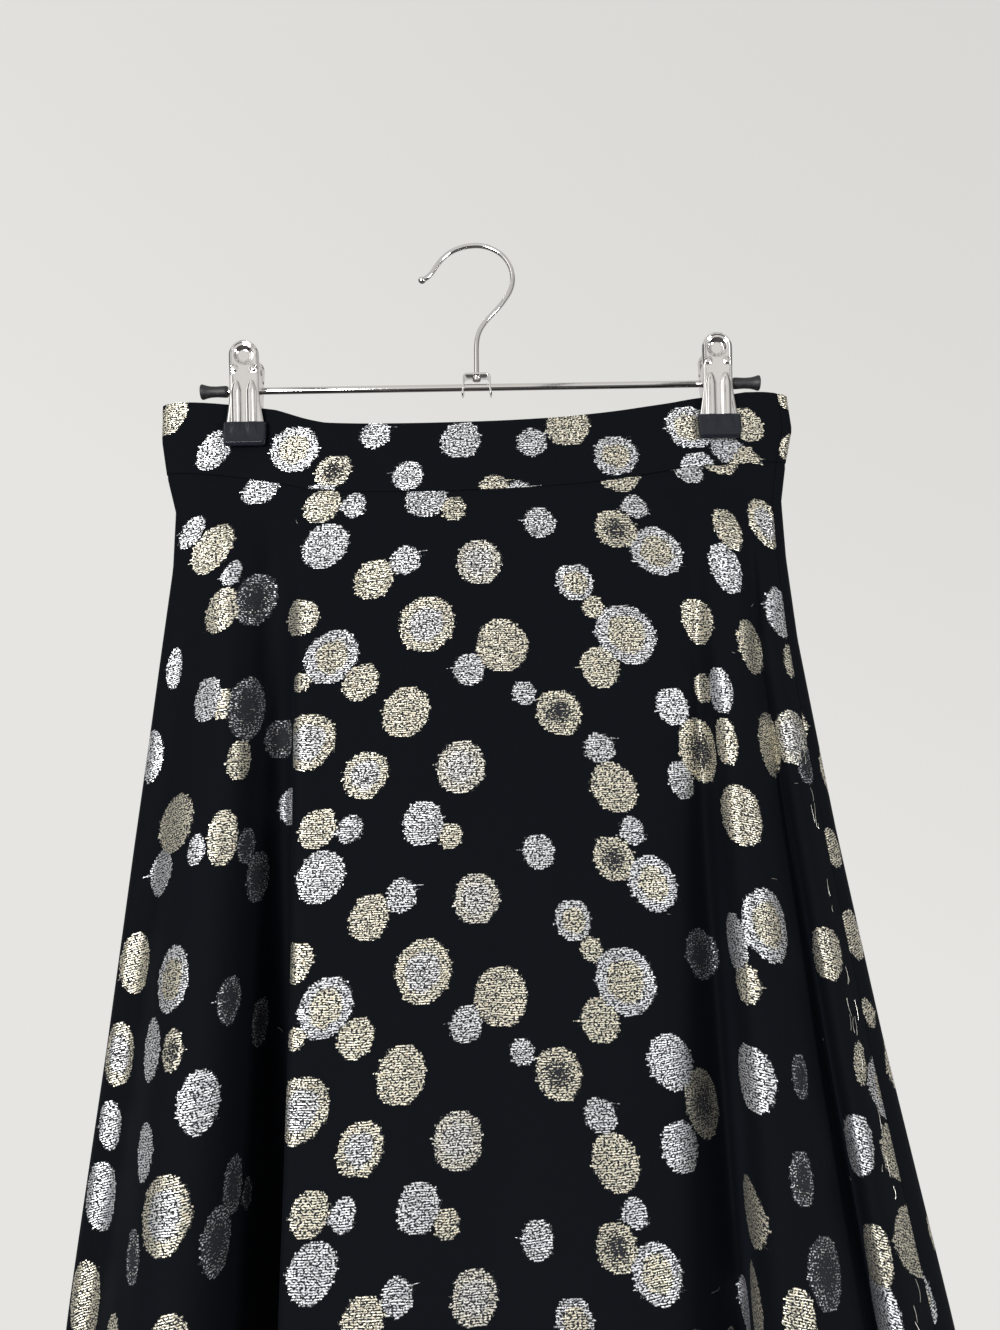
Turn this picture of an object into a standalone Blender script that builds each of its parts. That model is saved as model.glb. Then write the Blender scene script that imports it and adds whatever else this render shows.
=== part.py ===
"""A flared skirt woven with metallic bubble dots, held by its waistband on a two-clip hanger.

Metres, +Z up, the front of the skirt towards -Y and the viewer's right towards +X. The origin is the
inner top of the hanger's hook, where a nail or a peg carries it. The cloth is one closed ring at each
height, lofted from the top of the waistband to the hem, and cut into panels at its seams.
"""

import math
from typing import NamedTuple

import bmesh
import bpy
from mathutils import Vector

# Cloth
BAND_TOP_Z = -0.0985
BAND_HEIGHT = 0.040
SKIRT_LENGTH = 0.760
SHOWN_LENGTH = 0.415  # from the waist seam down to where the fold table's "low" columns are taken
CLOTH_THICK = 0.0015
BAND_THICK = 0.0018
SEAM_GAP = 0.0003
BAND_DEPTH = 0.0078  # from the hanger's plane to the outside of the band, midway between the clips
PINCHED_SHARE = 0.66  # how much of that depth a clip takes away
PINCH_REACH = 0.030
FRONT_LEAN = 0.1228  # how far the front comes forward for each metre down
BACK_DEPTH = 0.026
BACK_FILLS_IN = 0.075  # the back reaches most of its depth in this length
FLAT_POWER, ROUND_POWER = 8.0, 2.6  # outline of the ring at the waist, and where the skirt hangs free
ROUNDS_IN = 0.16
HEM_FOLD_GROWTH = 0.5  # under the shown length, folds deepen at this share of their first rate

LEVELS = 18
LEVEL_SPREAD = 1.2
BAND_LEVELS = 3
COLUMNS_PER_ROW = 2

# Hanger
WIRE = 0.0030
HOOK_RADIUS = 0.0215
STEM_FOOT_Z = -0.0845
BAR_Z = -0.0885
BAR = 0.0040
BAR_LEFT, BAR_RIGHT = -0.1530, 0.1570
CAP_LENGTH = 0.0150
SADDLE_WIDTH = 0.0145
SADDLE_DEPTH = 0.0090
SADDLE_TOP_Z = -0.0795
SADDLE_FOOT_Z = -0.0945
SADDLE_THICK = 0.0010
CLIP_X = {"left": -0.1298, "right": 0.1346}
CLIP_TOP_Z = -0.0632
JAW_FOOT_Z = -0.1222
GRIP_TOP_Z, GRIP_FOOT_Z = -0.1100, -0.1252
GRIP_WIDTH = 0.0242
GRIP_DEPTH = 0.0036
GRIP_FACE_Y = 0.0044  # from the hanger's plane to a grip's face on the cloth
PLATE_THICK = 0.0008
PLATE_TOP_Y, PLATE_JAW_Y = 0.0118, 0.0064
FLUTE_RISE = 0.0007
DIMPLE_SINK = 0.0011
DIMPLE_RADIUS = 0.0052

# Concealed zip, in the seam at the centre of the back
ZIP_LENGTH = 0.200  # from the top of the band
ZIP_HALF_WIDTH = 0.011
TAPE_THICK = 0.0010
ZIP_LEVELS = 6
SLIDER_DROP = 0.004  # from the top of the band
SLIDER_WIDTH = 0.0050
SLIDER_DEPTH = 0.0016
SLIDER_HEIGHT = 0.0080
BRIDGE_WIRE = 0.0009
BRIDGE_HEIGHT = 0.0034
BRIDGE_REACH = 0.0026  # from the slider's face to the middle of the bridge's wire
PULL_AXIS_REACH = 0.0012  # from the slider's face to the pull's axis
PULL_LENGTH = 0.0146
PULL_THICK = 0.0008
PULL_EYE_WIDTH = 0.0017
PULL_EYE_LENGTH = 0.0033


class Outline(NamedTuple):
    """Half-widths of the hanging skirt at one drop below the waist seam."""

    drop: float
    left: float
    right: float


OUTLINE = (
    Outline(-0.040, 0.1775, 0.1750),
    Outline(-0.020, 0.1768, 0.1764),
    Outline(0.000, 0.1730, 0.1714),
    Outline(0.022, 0.1668, 0.1674),
    Outline(0.055, 0.1664, 0.1674),
    Outline(0.100, 0.1698, 0.1700),
    Outline(0.200, 0.1770, 0.1814),
    Outline(0.300, 0.1836, 0.1950),
    Outline(0.415, 0.1928, 0.2132),
    Outline(0.600, 0.2080, 0.2400),
    Outline(0.760, 0.2205, 0.2600),
)


class Row(NamedTuple):
    """One row down the cloth. waist and low are its place across the ring, as a share of the half-width,
    at the waist seam and at the shown length. proud is how far it stands out of the plain ring at the
    shown length, sag how far the band hangs down there, and start the drop at which its fold begins."""

    name: str
    waist: float
    low: float
    proud: float
    sag: float
    start: float


FRONT_ROWS = (
    Row("left_side", -1.000, -1.000, 0.000, 0.0000, 0.00),
    Row("left_hip", -0.985, -1.000, 0.010, 0.0000, 0.00),
    Row("left_strip", -0.950, -0.965, 0.010, 0.0002, 0.05),
    Row("left_dip", -0.910, -0.905, -0.008, 0.0005, 0.05),
    Row("left_ridge", -0.865, -0.810, 0.020, 0.0010, 0.03),
    Row("left_crown", -0.810, -0.690, 0.027, 0.0018, 0.02),
    Row("left_brow", -0.760, -0.595, 0.022, 0.0028, 0.02),
    Row("left_flank", -0.715, -0.535, -0.008, 0.0042, 0.02),
    Row("left_valley", -0.675, -0.490, -0.052, 0.0055, 0.02),
    Row("left_tuck", -0.635, -0.430, -0.048, 0.0070, 0.03),
    Row("left_turn", -0.600, -0.418, -0.014, 0.0086, 0.04),
    Row("left_edge", -0.565, -0.458, 0.015, 0.0104, 0.05),
    Row("panel_left", -0.500, -0.390, 0.012, 0.0132, 0.05),
    Row("panel_near_left", -0.290, -0.230, 0.006, 0.0146, 0.05),
    Row("panel_middle", -0.060, -0.040, 0.004, 0.0146, 0.05),
    Row("panel_near_right", 0.170, 0.130, 0.002, 0.0135, 0.05),
    Row("panel_right", 0.380, 0.270, 0.000, 0.0108, 0.05),
    Row("panel_end", 0.530, 0.385, -0.002, 0.0070, 0.05),
    Row("right_dip", 0.625, 0.470, -0.014, 0.0035, 0.03),
    Row("right_valley", 0.680, 0.535, -0.036, 0.0015, 0.02),
    Row("right_turn", 0.720, 0.540, -0.020, 0.0006, 0.02),
    Row("right_edge", 0.755, 0.512, 0.016, 0.0000, 0.02),
    Row("right_ridge", 0.785, 0.545, 0.031, 0.0000, 0.02),
    Row("right_crown", 0.815, 0.625, 0.031, 0.0000, 0.02),
    Row("right_flank", 0.842, 0.715, 0.018, -0.0002, 0.02),
    Row("outer_valley", 0.866, 0.795, -0.012, -0.0004, 0.02),
    Row("outer_turn", 0.884, 0.808, -0.012, -0.0006, 0.02),
    Row("outer_edge", 0.897, 0.780, 0.006, -0.0008, 0.02),
    Row("outer_ridge", 0.918, 0.806, 0.018, -0.0010, 0.02),
    Row("outer_crown", 0.940, 0.858, 0.014, -0.0010, 0.02),
    Row("right_seam", 0.962, 0.915, 0.005, -0.0010, 0.03),
    Row("right_strip", 0.985, 0.975, 0.010, -0.0010, 0.03),
)

BACK_ROWS = (
    Row("right_side", 1.000, 1.000, 0.000, -0.0010, 0.00),
    Row("back_right_hip", 0.985, 0.995, 0.008, -0.0010, 0.00),
    Row("back_right_strip", 0.930, 0.925, 0.004, -0.0009, 0.03),
    Row("back_right_ridge", 0.850, 0.850, 0.004, -0.0005, 0.03),
    Row("back_right_flank", 0.760, 0.755, -0.006, 0.0000, 0.09),
    Row("back_right_valley", 0.690, 0.685, -0.036, 0.0006, 0.09),
    Row("back_right_rise", 0.620, 0.620, -0.006, 0.0030, 0.09),
    Row("back_middle_ridge", 0.530, 0.530, 0.005, 0.0065, 0.09),
    Row("back_middle_flank", 0.430, 0.425, -0.004, 0.0095, 0.09),
    Row("back_middle_valley", 0.350, 0.340, -0.034, 0.0115, 0.09),
    Row("back_middle_rise", 0.270, 0.260, -0.004, 0.0130, 0.09),
    Row("back_panel", 0.150, 0.150, 0.004, 0.0137, 0.09),
    Row("centre_back", 0.000, 0.000, 0.002, 0.0145, 0.04),
    Row("back_panel_left", -0.130, -0.130, 0.004, 0.0146, 0.09),
    Row("back_left_rise", -0.215, -0.205, -0.004, 0.0146, 0.09),
    Row("back_left_valley", -0.290, -0.280, -0.036, 0.0146, 0.09),
    Row("back_left_flank", -0.370, -0.365, -0.004, 0.0144, 0.09),
    Row("back_left_ridge", -0.480, -0.480, 0.005, 0.0135, 0.09),
    Row("back_outer_flank", -0.570, -0.575, -0.006, 0.0112, 0.09),
    Row("back_outer_valley", -0.640, -0.645, -0.034, 0.0070, 0.09),
    Row("back_outer_rise", -0.715, -0.720, -0.006, 0.0032, 0.09),
    Row("back_left_crown", -0.810, -0.815, 0.005, 0.0008, 0.03),
    Row("back_left_strip", -0.920, -0.920, 0.004, 0.0002, 0.03),
    Row("left_seam", -0.985, -0.995, 0.006, 0.0000, 0.00),
)

RING = tuple((row, -1) for row in FRONT_ROWS) + tuple((row, 1) for row in BACK_ROWS)


class Finish(NamedTuple):
    """A plain Principled finish."""

    colour: tuple
    roughness: float
    metallic: float


CREPE = Finish((0.006, 0.007, 0.010), 0.75, 0.0)
CHROME = Finish((0.78, 0.78, 0.78), 0.10, 1.0)
RUBBER = Finish((0.012, 0.012, 0.014), 0.55, 0.0)
TAPE = Finish((0.010, 0.010, 0.012), 0.85, 0.0)
ENAMEL = Finish((0.010, 0.011, 0.014), 0.35, 0.0)


def clamp(value, low=0.0, high=1.0):
    return max(low, min(high, value))


def smooth(share):
    share = clamp(share)
    return share * share * (3.0 - 2.0 * share)


def half_width(drop, side):
    """The outline's half-width at this drop, on the left (side < 0) or the right."""
    below = next((i for i, row in enumerate(OUTLINE) if row.drop >= drop), len(OUTLINE) - 1)
    lower, upper = OUTLINE[below], OUTLINE[max(below - 1, 0)]
    share = 0.0 if lower is upper else (drop - upper.drop) / (lower.drop - upper.drop)
    name = "left" if side < 0 else "right"
    return getattr(upper, name) * (1.0 - share) + getattr(lower, name) * share


def fold_growth(drop, start):
    """From 0 where a fold begins to 1 at the shown length, and on more slowly to the hem."""
    if drop <= SHOWN_LENGTH:
        return max(0.0, (drop - start) / (SHOWN_LENGTH - start))
    return 1.0 + HEM_FOLD_GROWTH * (drop - SHOWN_LENGTH) / SHOWN_LENGTH


def clip_pinch(x, drop):
    """What a clip leaves of the ring's depth near it, fading out below the seam."""
    fade = 1.0 - smooth(drop / 0.05)
    near = max(math.exp(-(((x - place) / PINCH_REACH) ** 2)) for place in CLIP_X.values())
    return 1.0 - PINCHED_SHARE * near * fade


def control_point(row, face, drop):
    """Where a row stands at this drop below the waist seam, as one control point of the ring."""
    down = clamp(drop / SHOWN_LENGTH)
    share = row.waist + (row.low - row.waist) * down
    x = share * half_width(drop, share)
    power = FLAT_POWER + (ROUND_POWER - FLAT_POWER) * smooth(drop / ROUNDS_IN)
    depth = BAND_DEPTH
    if drop > 0.0:
        back = BAND_DEPTH + BACK_DEPTH * (1.0 - math.exp(-drop / BACK_FILLS_IN))
        depth = back if face > 0 else BAND_DEPTH + FRONT_LEAN * drop
    out = depth * math.sqrt(max(0.0, 1.0 - abs(share) ** power)) * clip_pinch(x, drop)
    out += row.proud * fold_growth(drop, row.start)
    return Vector((x, face * out, BAND_TOP_Z - BAND_HEIGHT - drop - row.sag))


def ring_at(drop):
    return [control_point(row, face, drop) for row, face in RING]


def ring_index(name):
    return next(i for i, (row, _) in enumerate(RING) if row.name == name)


def on_ring(ring, place, inset=0.0):
    """A point of the closed cubic B-spline through the ring's rows, moved in from the outside by inset."""
    start = math.floor(place)
    t = place - start
    a, b, c, d = (ring[(start + k) % len(ring)] for k in (-1, 0, 1, 2))
    point = (
        a * ((1 - t) ** 3)
        + b * (3 * t**3 - 6 * t**2 + 4)
        + c * (-3 * t**3 + 3 * t**2 + 3 * t + 1)
        + d * (t**3)
    ) / 6.0
    along = (
        a * (-((1 - t) ** 2)) + b * (3 * t**2 - 4 * t) + c * (-3 * t**2 + 2 * t + 1) + d * (t**2)
    )
    outward = Vector((along.y, -along.x, 0.0)).normalized()
    return point - outward * inset


def material(name, finish):
    made = bpy.data.materials.new(name)
    made.use_nodes = True
    shader = made.node_tree.nodes["Principled BSDF"]
    shader.inputs["Base Color"].default_value = (*finish.colour, 1.0)
    shader.inputs["Roughness"].default_value = finish.roughness
    shader.inputs["Metallic"].default_value = finish.metallic
    made.diffuse_color = (*finish.colour, 1.0)
    made.roughness = finish.roughness
    made.metallic = finish.metallic
    return made


def add_object(name, mesh, finish, collection):
    piece = bpy.data.objects.new(name, mesh)
    collection.objects.link(piece)
    mesh.materials.append(material(name, finish))
    return piece


def wall_mesh(name, outer, inner):
    """A closed wall between two grids of points, outer and inner, with the same rows and columns."""
    rows, columns = len(outer), len(outer[0])
    shape = bmesh.new()
    skins = [
        [[shape.verts.new(point) for point in line] for line in skin] for skin in (outer, inner)
    ]
    for skin, turned in zip(skins, (False, True)):
        for i in range(rows - 1):
            for j in range(columns - 1):
                corners = [skin[i][j], skin[i + 1][j], skin[i + 1][j + 1], skin[i][j + 1]]
                shape.faces.new(corners[::-1] if turned else corners)
    far, near = skins
    for i in range(rows - 1):
        shape.faces.new((far[i][0], near[i][0], near[i + 1][0], far[i + 1][0]))
        shape.faces.new((far[i][-1], far[i + 1][-1], near[i + 1][-1], near[i][-1]))
    for j in range(columns - 1):
        shape.faces.new((far[0][j], far[0][j + 1], near[0][j + 1], near[0][j]))
        shape.faces.new((far[-1][j], near[-1][j], near[-1][j + 1], far[-1][j + 1]))
    bmesh.ops.recalc_face_normals(shape, faces=shape.faces)
    mesh = bpy.data.meshes.new(name)
    shape.to_mesh(mesh)
    shape.free()
    mesh.shade_smooth()
    mesh.set_sharp_from_angle(angle=math.radians(50))
    return mesh


def panel_places(first, last):
    """Places along the ring from one named row to another, the way the ring runs."""
    start, end = ring_index(first), ring_index(last)
    if end <= start:
        end += len(RING)
    return [start + k / COLUMNS_PER_ROW for k in range((end - start) * COLUMNS_PER_ROW + 1)]


def seam_clear(line):
    """Draws a line's two ends in by half the gap that a seam keeps between its pieces."""
    for end, beside in ((0, 1), (-1, -2)):
        line[end] += (line[beside] - line[end]).normalized() * SEAM_GAP / 2
    return line


def cloth_panel(name, first, last, drops, thick, collection):
    places = panel_places(first, last)
    outer, inner = [], []
    for drop in drops:
        ring = ring_at(drop)
        outer.append(seam_clear([on_ring(ring, place) for place in places]))
        inner.append(seam_clear([on_ring(ring, place, thick) for place in places]))
    return add_object(name, wall_mesh(name, outer, inner), CREPE, collection)


PANELS = (
    ("front", "left_seam", "right_seam"),
    ("back_right", "right_seam", "centre_back"),
    ("back_left", "centre_back", "left_seam"),
)


def make_waistband(collection):
    """The band's front and its two back halves, which meet at the zip."""
    reach = BAND_HEIGHT - SEAM_GAP
    drops = [-BAND_HEIGHT + reach * k / (BAND_LEVELS - 1) for k in range(BAND_LEVELS)]
    for side, first, last in PANELS:
        cloth_panel(f"waistband_{side}", first, last, drops, BAND_THICK, collection)


def make_skirt(collection):
    """The front panel and the two back panels, from the waist seam to the hem."""
    drops = [SKIRT_LENGTH * (k / (LEVELS - 1)) ** LEVEL_SPREAD for k in range(LEVELS)]
    for side, first, last in PANELS:
        cloth_panel(f"skirt_{side}", first, last, drops, CLOTH_THICK, collection)


def zip_top():
    """The point on the outside of the back seam where the zip's slider rests."""
    return on_ring(ring_at(SLIDER_DROP - BAND_HEIGHT), ring_index("centre_back"))


def make_zip_tape(collection):
    """The tape behind the seam, made from the panels' own points, moved in past the band."""
    middle = ring_index("centre_back")
    width_of_row = (RING[middle + 1][0].waist - RING[middle][0].waist) * half_width(0.0, -1)
    reach = ZIP_HALF_WIDTH / abs(width_of_row)
    places = [middle - reach, middle - reach / 2, middle, middle + reach / 2, middle + reach]
    face = BAND_THICK + SEAM_GAP
    outer, inner = [], []
    for k in range(ZIP_LEVELS):
        ring = ring_at(-BAND_HEIGHT + 0.001 + (ZIP_LENGTH - 0.001) * k / (ZIP_LEVELS - 1))
        outer.append([on_ring(ring, place, face) for place in places])
        inner.append([on_ring(ring, place, face + TAPE_THICK) for place in places])
    return add_object("zip_tape", wall_mesh("zip_tape", outer, inner), TAPE, collection)


def make_slider(collection, cutters):
    """The zip's slider at the top of the seam, with the arched bridge that its pull hangs in."""
    top = zip_top()
    face = top.y + SEAM_GAP + SLIDER_DEPTH
    centre = (top.x, face - SLIDER_DEPTH / 2, top.z - SLIDER_HEIGHT / 2)
    size = (SLIDER_WIDTH, SLIDER_DEPTH, SLIDER_HEIGHT)
    slider = rounded_block("zip_slider", size, centre, 0.0005, ENAMEL, collection)
    half = BRIDGE_HEIGHT / 2
    middle = centre[2] + 0.0010
    arch = [
        (-SLIDER_DEPTH / 2, -half),
        (BRIDGE_REACH - 0.0005, -half),
        (BRIDGE_REACH, -half + 0.0005),
        (BRIDGE_REACH, half - 0.0005),
        (BRIDGE_REACH - 0.0005, half),
        (-SLIDER_DEPTH / 2, half),
    ]
    points = [(top.x, face + out, middle + up) for out, up in arch]
    curve = wire_object(
        "bridge_curve", points, [1.0] * len(points), BRIDGE_WIRE, 1, ENAMEL, cutters
    )
    bridge = mesh_from_curve(curve, "zip_bridge", cutters)
    join = slider.modifiers.new("bridge", "BOOLEAN")
    join.operation = "UNION"
    join.object = bridge
    return Vector((top.x, face + PULL_AXIS_REACH, middle))


def mesh_from_curve(curve, name, collection):
    """Turns a wire into a hidden, closed mesh that a Boolean can use."""
    depsgraph = bpy.context.evaluated_depsgraph_get()
    mesh = bpy.data.meshes.new_from_object(curve.evaluated_get(depsgraph))
    shape = bmesh.new()
    shape.from_mesh(mesh)
    bmesh.ops.remove_doubles(shape, verts=shape.verts, dist=1e-6)
    shape.to_mesh(mesh)
    shape.free()
    made = bpy.data.objects.new(name, mesh)
    collection.objects.link(made)
    made.matrix_world = curve.matrix_world.copy()
    bpy.data.objects.remove(curve, do_unlink=True)
    made.hide_render = True
    made.display_type = "WIRE"
    return made


def make_pull(axis, collection):
    """The zip's pull: a long flat tab with an eye at its top, hanging on the bridge from its axis."""
    bar = PULL_THICK / 2
    narrow, wide = PULL_EYE_WIDTH / 2 + 0.0008, 0.0024
    foot = -PULL_LENGTH
    outline = [
        (narrow, bar),
        (narrow, -bar - PULL_EYE_LENGTH),
        (wide, foot + 0.0040),
        (wide - 0.0003, foot + 0.0012),
        (wide - 0.0012, foot + 0.0002),
        (0.0, foot),
    ]
    outline += [(-x, z) for x, z in reversed(outline[:-1])]
    eye = [
        (PULL_EYE_WIDTH / 2, -bar),
        (PULL_EYE_WIDTH / 2, -bar - PULL_EYE_LENGTH),
        (-PULL_EYE_WIDTH / 2, -bar - PULL_EYE_LENGTH),
        (-PULL_EYE_WIDTH / 2, -bar),
    ]
    curve = bpy.data.curves.new("zip_pull", "CURVE")
    curve.dimensions = "2D"
    curve.fill_mode = "BOTH"
    curve.extrude = PULL_THICK / 2
    for ring in (outline, eye):
        spline = curve.splines.new("POLY")
        spline.use_cyclic_u = True
        spline.points.add(len(ring) - 1)
        for knot, (x, z) in zip(spline.points, ring):
            knot.co = (x, z, 0.0, 1.0)
    pull = bpy.data.objects.new("zip_pull", curve)
    collection.objects.link(pull)
    curve.materials.append(material("zip_pull", ENAMEL))
    pull.rotation_euler.x = math.radians(90)
    pull.location = axis
    return pull


def wire_object(name, points, radii, thick, sides, finish, collection):
    """A round wire through the points, each with its own share of the wire's radius."""
    curve = bpy.data.curves.new(name, "CURVE")
    curve.dimensions = "3D"
    curve.bevel_depth = thick / 2
    curve.bevel_resolution = sides
    curve.use_fill_caps = True
    spline = curve.splines.new("POLY")
    spline.points.add(len(points) - 1)
    for knot, point, radius in zip(spline.points, points, radii):
        knot.co = (*point, 1.0)
        knot.radius = radius
    piece = bpy.data.objects.new(name, curve)
    collection.objects.link(piece)
    curve.materials.append(material(name, finish))
    return piece


def arc(centre, radius, first, last, count):
    """Points on an arc in the XZ plane, by angle in degrees from +X."""
    steps = [math.radians(first + (last - first) * k / (count - 1)) for k in range(count)]
    return [(centre[0] + radius * math.cos(a), 0.0, centre[1] + radius * math.sin(a)) for a in steps]


def make_hook(collection):
    """The swivel hook: a bulb at its open end, a round crook, and a stem headed over under the saddle."""
    centre_z = WIRE / 2 - HOOK_RADIUS
    bulb = [(-0.0322, 0.0, -0.0212), (-0.0315, 0.0, -0.0208), (-0.0298, 0.0, -0.0200)]
    lip = [(-0.0272, 0.0, -0.0186), (-0.0244, 0.0, -0.0168)]
    crook = arc((0.0, centre_z), HOOK_RADIUS, 160, -32, 20)
    swan = [(0.0142, 0.0, -0.0395), (0.0086, 0.0, -0.0455), (0.0038, 0.0, -0.0506), (0.0008, 0.0, -0.0560)]
    stem = [(0.0, 0.0, -0.0620), (0.0, 0.0, -0.0770), (0.0, 0.0, SADDLE_TOP_Z - SADDLE_THICK - SEAM_GAP)]
    head = [(0.0, 0.0, stem[-1][2] - 0.0004), (0.0, 0.0, STEM_FOOT_Z + 0.0008), (0.0, 0.0, STEM_FOOT_Z)]
    points = bulb + lip + crook + swan + stem + head
    radii = [0.7, 1.25, 1.30] + [1.0] * (len(points) - 6) + [1.55, 1.55, 1.05]
    return wire_object("hanger_hook", points, radii, WIRE, 2, CHROME, collection)


def turned_object(name, profile, centre, finish, collection, steps=20):
    """A profile of (distance along X, radius) pairs turned about the X axis through the centre."""
    mesh = bpy.data.meshes.new(name)
    shape = bmesh.new()
    knots = [shape.verts.new((along, 0.0, radius)) for along, radius in profile]
    for one, two in zip(knots, knots[1:]):
        shape.edges.new((one, two))
    bmesh.ops.spin(
        shape,
        geom=shape.verts[:] + shape.edges[:],
        cent=(0, 0, 0),
        axis=(1, 0, 0),
        angle=math.tau,
        steps=steps,
        use_merge=True,
    )
    bmesh.ops.remove_doubles(shape, verts=shape.verts, dist=1e-6)
    bmesh.ops.recalc_face_normals(shape, faces=shape.faces)
    shape.to_mesh(mesh)
    shape.free()
    mesh.shade_smooth()
    mesh.set_sharp_from_angle(angle=math.radians(40))
    piece = add_object(name, mesh, finish, collection)
    piece.location = centre
    return piece


def make_bar(collection):
    """The bar, and a flared cap over each of its ends."""
    bore = BAR / 2 + SEAM_GAP
    rod = [(BAR_LEFT, 0.0), (BAR_LEFT, BAR / 2), (BAR_RIGHT, BAR / 2), (BAR_RIGHT, 0.0)]
    turned_object("hanger_bar", rod, (0.0, 0.0, BAR_Z), CHROME, collection)
    sleeve = [
        (0.0, bore),
        (0.0, 0.0030),
        (CAP_LENGTH * 0.08, 0.0033),
        (CAP_LENGTH * 0.45, 0.0030),
        (CAP_LENGTH * 0.80, 0.0036),
        (CAP_LENGTH * 0.96, 0.0044),
        (CAP_LENGTH, 0.0040),
        (CAP_LENGTH, 0.0),
        (CAP_LENGTH - 0.0020, 0.0),
        (CAP_LENGTH - 0.0020, bore),
        (0.0, bore),
    ]
    for side, end, way in (("left", BAR_LEFT, -1), ("right", BAR_RIGHT, 1)):
        inner_end = end - way * (CAP_LENGTH - 0.0020 - SEAM_GAP)
        profile = [(way * along, radius) for along, radius in sleeve[:-1]]
        turned_object(
            f"bar_cap_{side}", profile + profile[:1], (inner_end, 0.0, BAR_Z), RUBBER, collection
        )


def cut(piece, name, centre, radius, length, axis, cutters):
    """Drills a round hole along X, Y or Z with a hidden cylinder."""
    mesh = bpy.data.meshes.new(name)
    shape = bmesh.new()
    bmesh.ops.create_cone(
        shape, cap_ends=True, segments=16, radius1=radius, radius2=radius, depth=length
    )
    shape.to_mesh(mesh)
    shape.free()
    drill = bpy.data.objects.new(name, mesh)
    cutters.objects.link(drill)
    drill.location = centre
    if axis == "X":
        drill.rotation_euler.y = math.radians(90)
    drill.hide_render = True
    drill.display_type = "WIRE"
    hole = piece.modifiers.new(name, "BOOLEAN")
    hole.operation = "DIFFERENCE"
    hole.object = drill


def make_saddle(collection, cutters):
    """The bracket that straddles the bar: a bent strip, drilled for the stem and for the bar."""
    half, corner = SADDLE_WIDTH / 2, 0.0022
    foot = [(-half - 0.0006, SADDLE_FOOT_Z), (-half, SADDLE_FOOT_Z + 0.0030)]
    bend = [
        (-half + corner * (1 - math.cos(a)), SADDLE_TOP_Z - corner * (1 - math.sin(a)))
        for a in (math.radians(30 * k) for k in range(4))
    ]
    path = foot + bend
    path += [(-x, z) for x, z in reversed(path)]
    mesh = bpy.data.meshes.new("hanger_saddle")
    shape = bmesh.new()
    edges = []
    for x, z in path:
        edges.append([shape.verts.new((x, y, z)) for y in (-SADDLE_DEPTH / 2, SADDLE_DEPTH / 2)])
    for one, two in zip(edges, edges[1:]):
        shape.faces.new((one[0], two[0], two[1], one[1]))
    bmesh.ops.recalc_face_normals(shape, faces=shape.faces)
    shape.to_mesh(mesh)
    shape.free()
    piece = add_object("hanger_saddle", mesh, CHROME, collection)
    strip = piece.modifiers.new("sheet", "SOLIDIFY")
    strip.thickness = SADDLE_THICK
    strip.offset = -1.0 if mesh.polygons[len(mesh.polygons) // 2].normal.z > 0 else 1.0
    cut(piece, "stem_hole", (0, 0, SADDLE_TOP_Z), WIRE / 2 + SEAM_GAP, 0.006, "Z", cutters)
    cut(piece, "bar_hole", (0, 0, BAR_Z), BAR / 2 + SEAM_GAP, 0.03, "X", cutters)
    return piece


class PlateRow(NamedTuple):
    """One row of a clip's pressed plate, by its share of the way from the jaw's foot to the top."""

    up: float
    half: float
    flange: float


PLATE_ROWS = (
    PlateRow(0.00, 0.0104, 0.0006),
    PlateRow(0.20, 0.0103, 0.0008),
    PlateRow(0.32, 0.0090, 0.0014),
    PlateRow(0.43, 0.0080, 0.0022),
    PlateRow(0.49, 0.0077, 0.0108),
    PlateRow(0.57, 0.0075, 0.0126),
    PlateRow(0.65, 0.0076, 0.0108),
    PlateRow(0.71, 0.0077, 0.0030),
    PlateRow(0.81, 0.0079, 0.0016),
    PlateRow(0.88, 0.0078, 0.0013),
    PlateRow(0.94, 0.0066, 0.0010),
    PlateRow(0.98, 0.0045, 0.0008),
    PlateRow(1.00, 0.0022, 0.0006),
)
FACE_SHARES = (-1.0, -0.84, -0.62, -0.40, -0.16, 0.0, 0.16, 0.40, 0.62, 0.84, 1.0)


def plate_relief(across, z):
    """How far the plate's face is pressed out at this place: two flutes, and a dimple near the top."""
    dimple_z = CLIP_TOP_Z - 0.0082
    off_dimple = math.hypot(across, z - dimple_z) / DIMPLE_RADIUS
    relief = -DIMPLE_SINK * smooth(1.6 - 1.6 * off_dimple)
    flute_top = BAR_Z + 0.0030
    flute = math.cos(math.pi * clamp(abs(abs(across) - 0.0042) / 0.0036))
    relief += FLUTE_RISE * max(0.0, flute) * smooth((flute_top - z) / 0.0030)
    return relief


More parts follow.
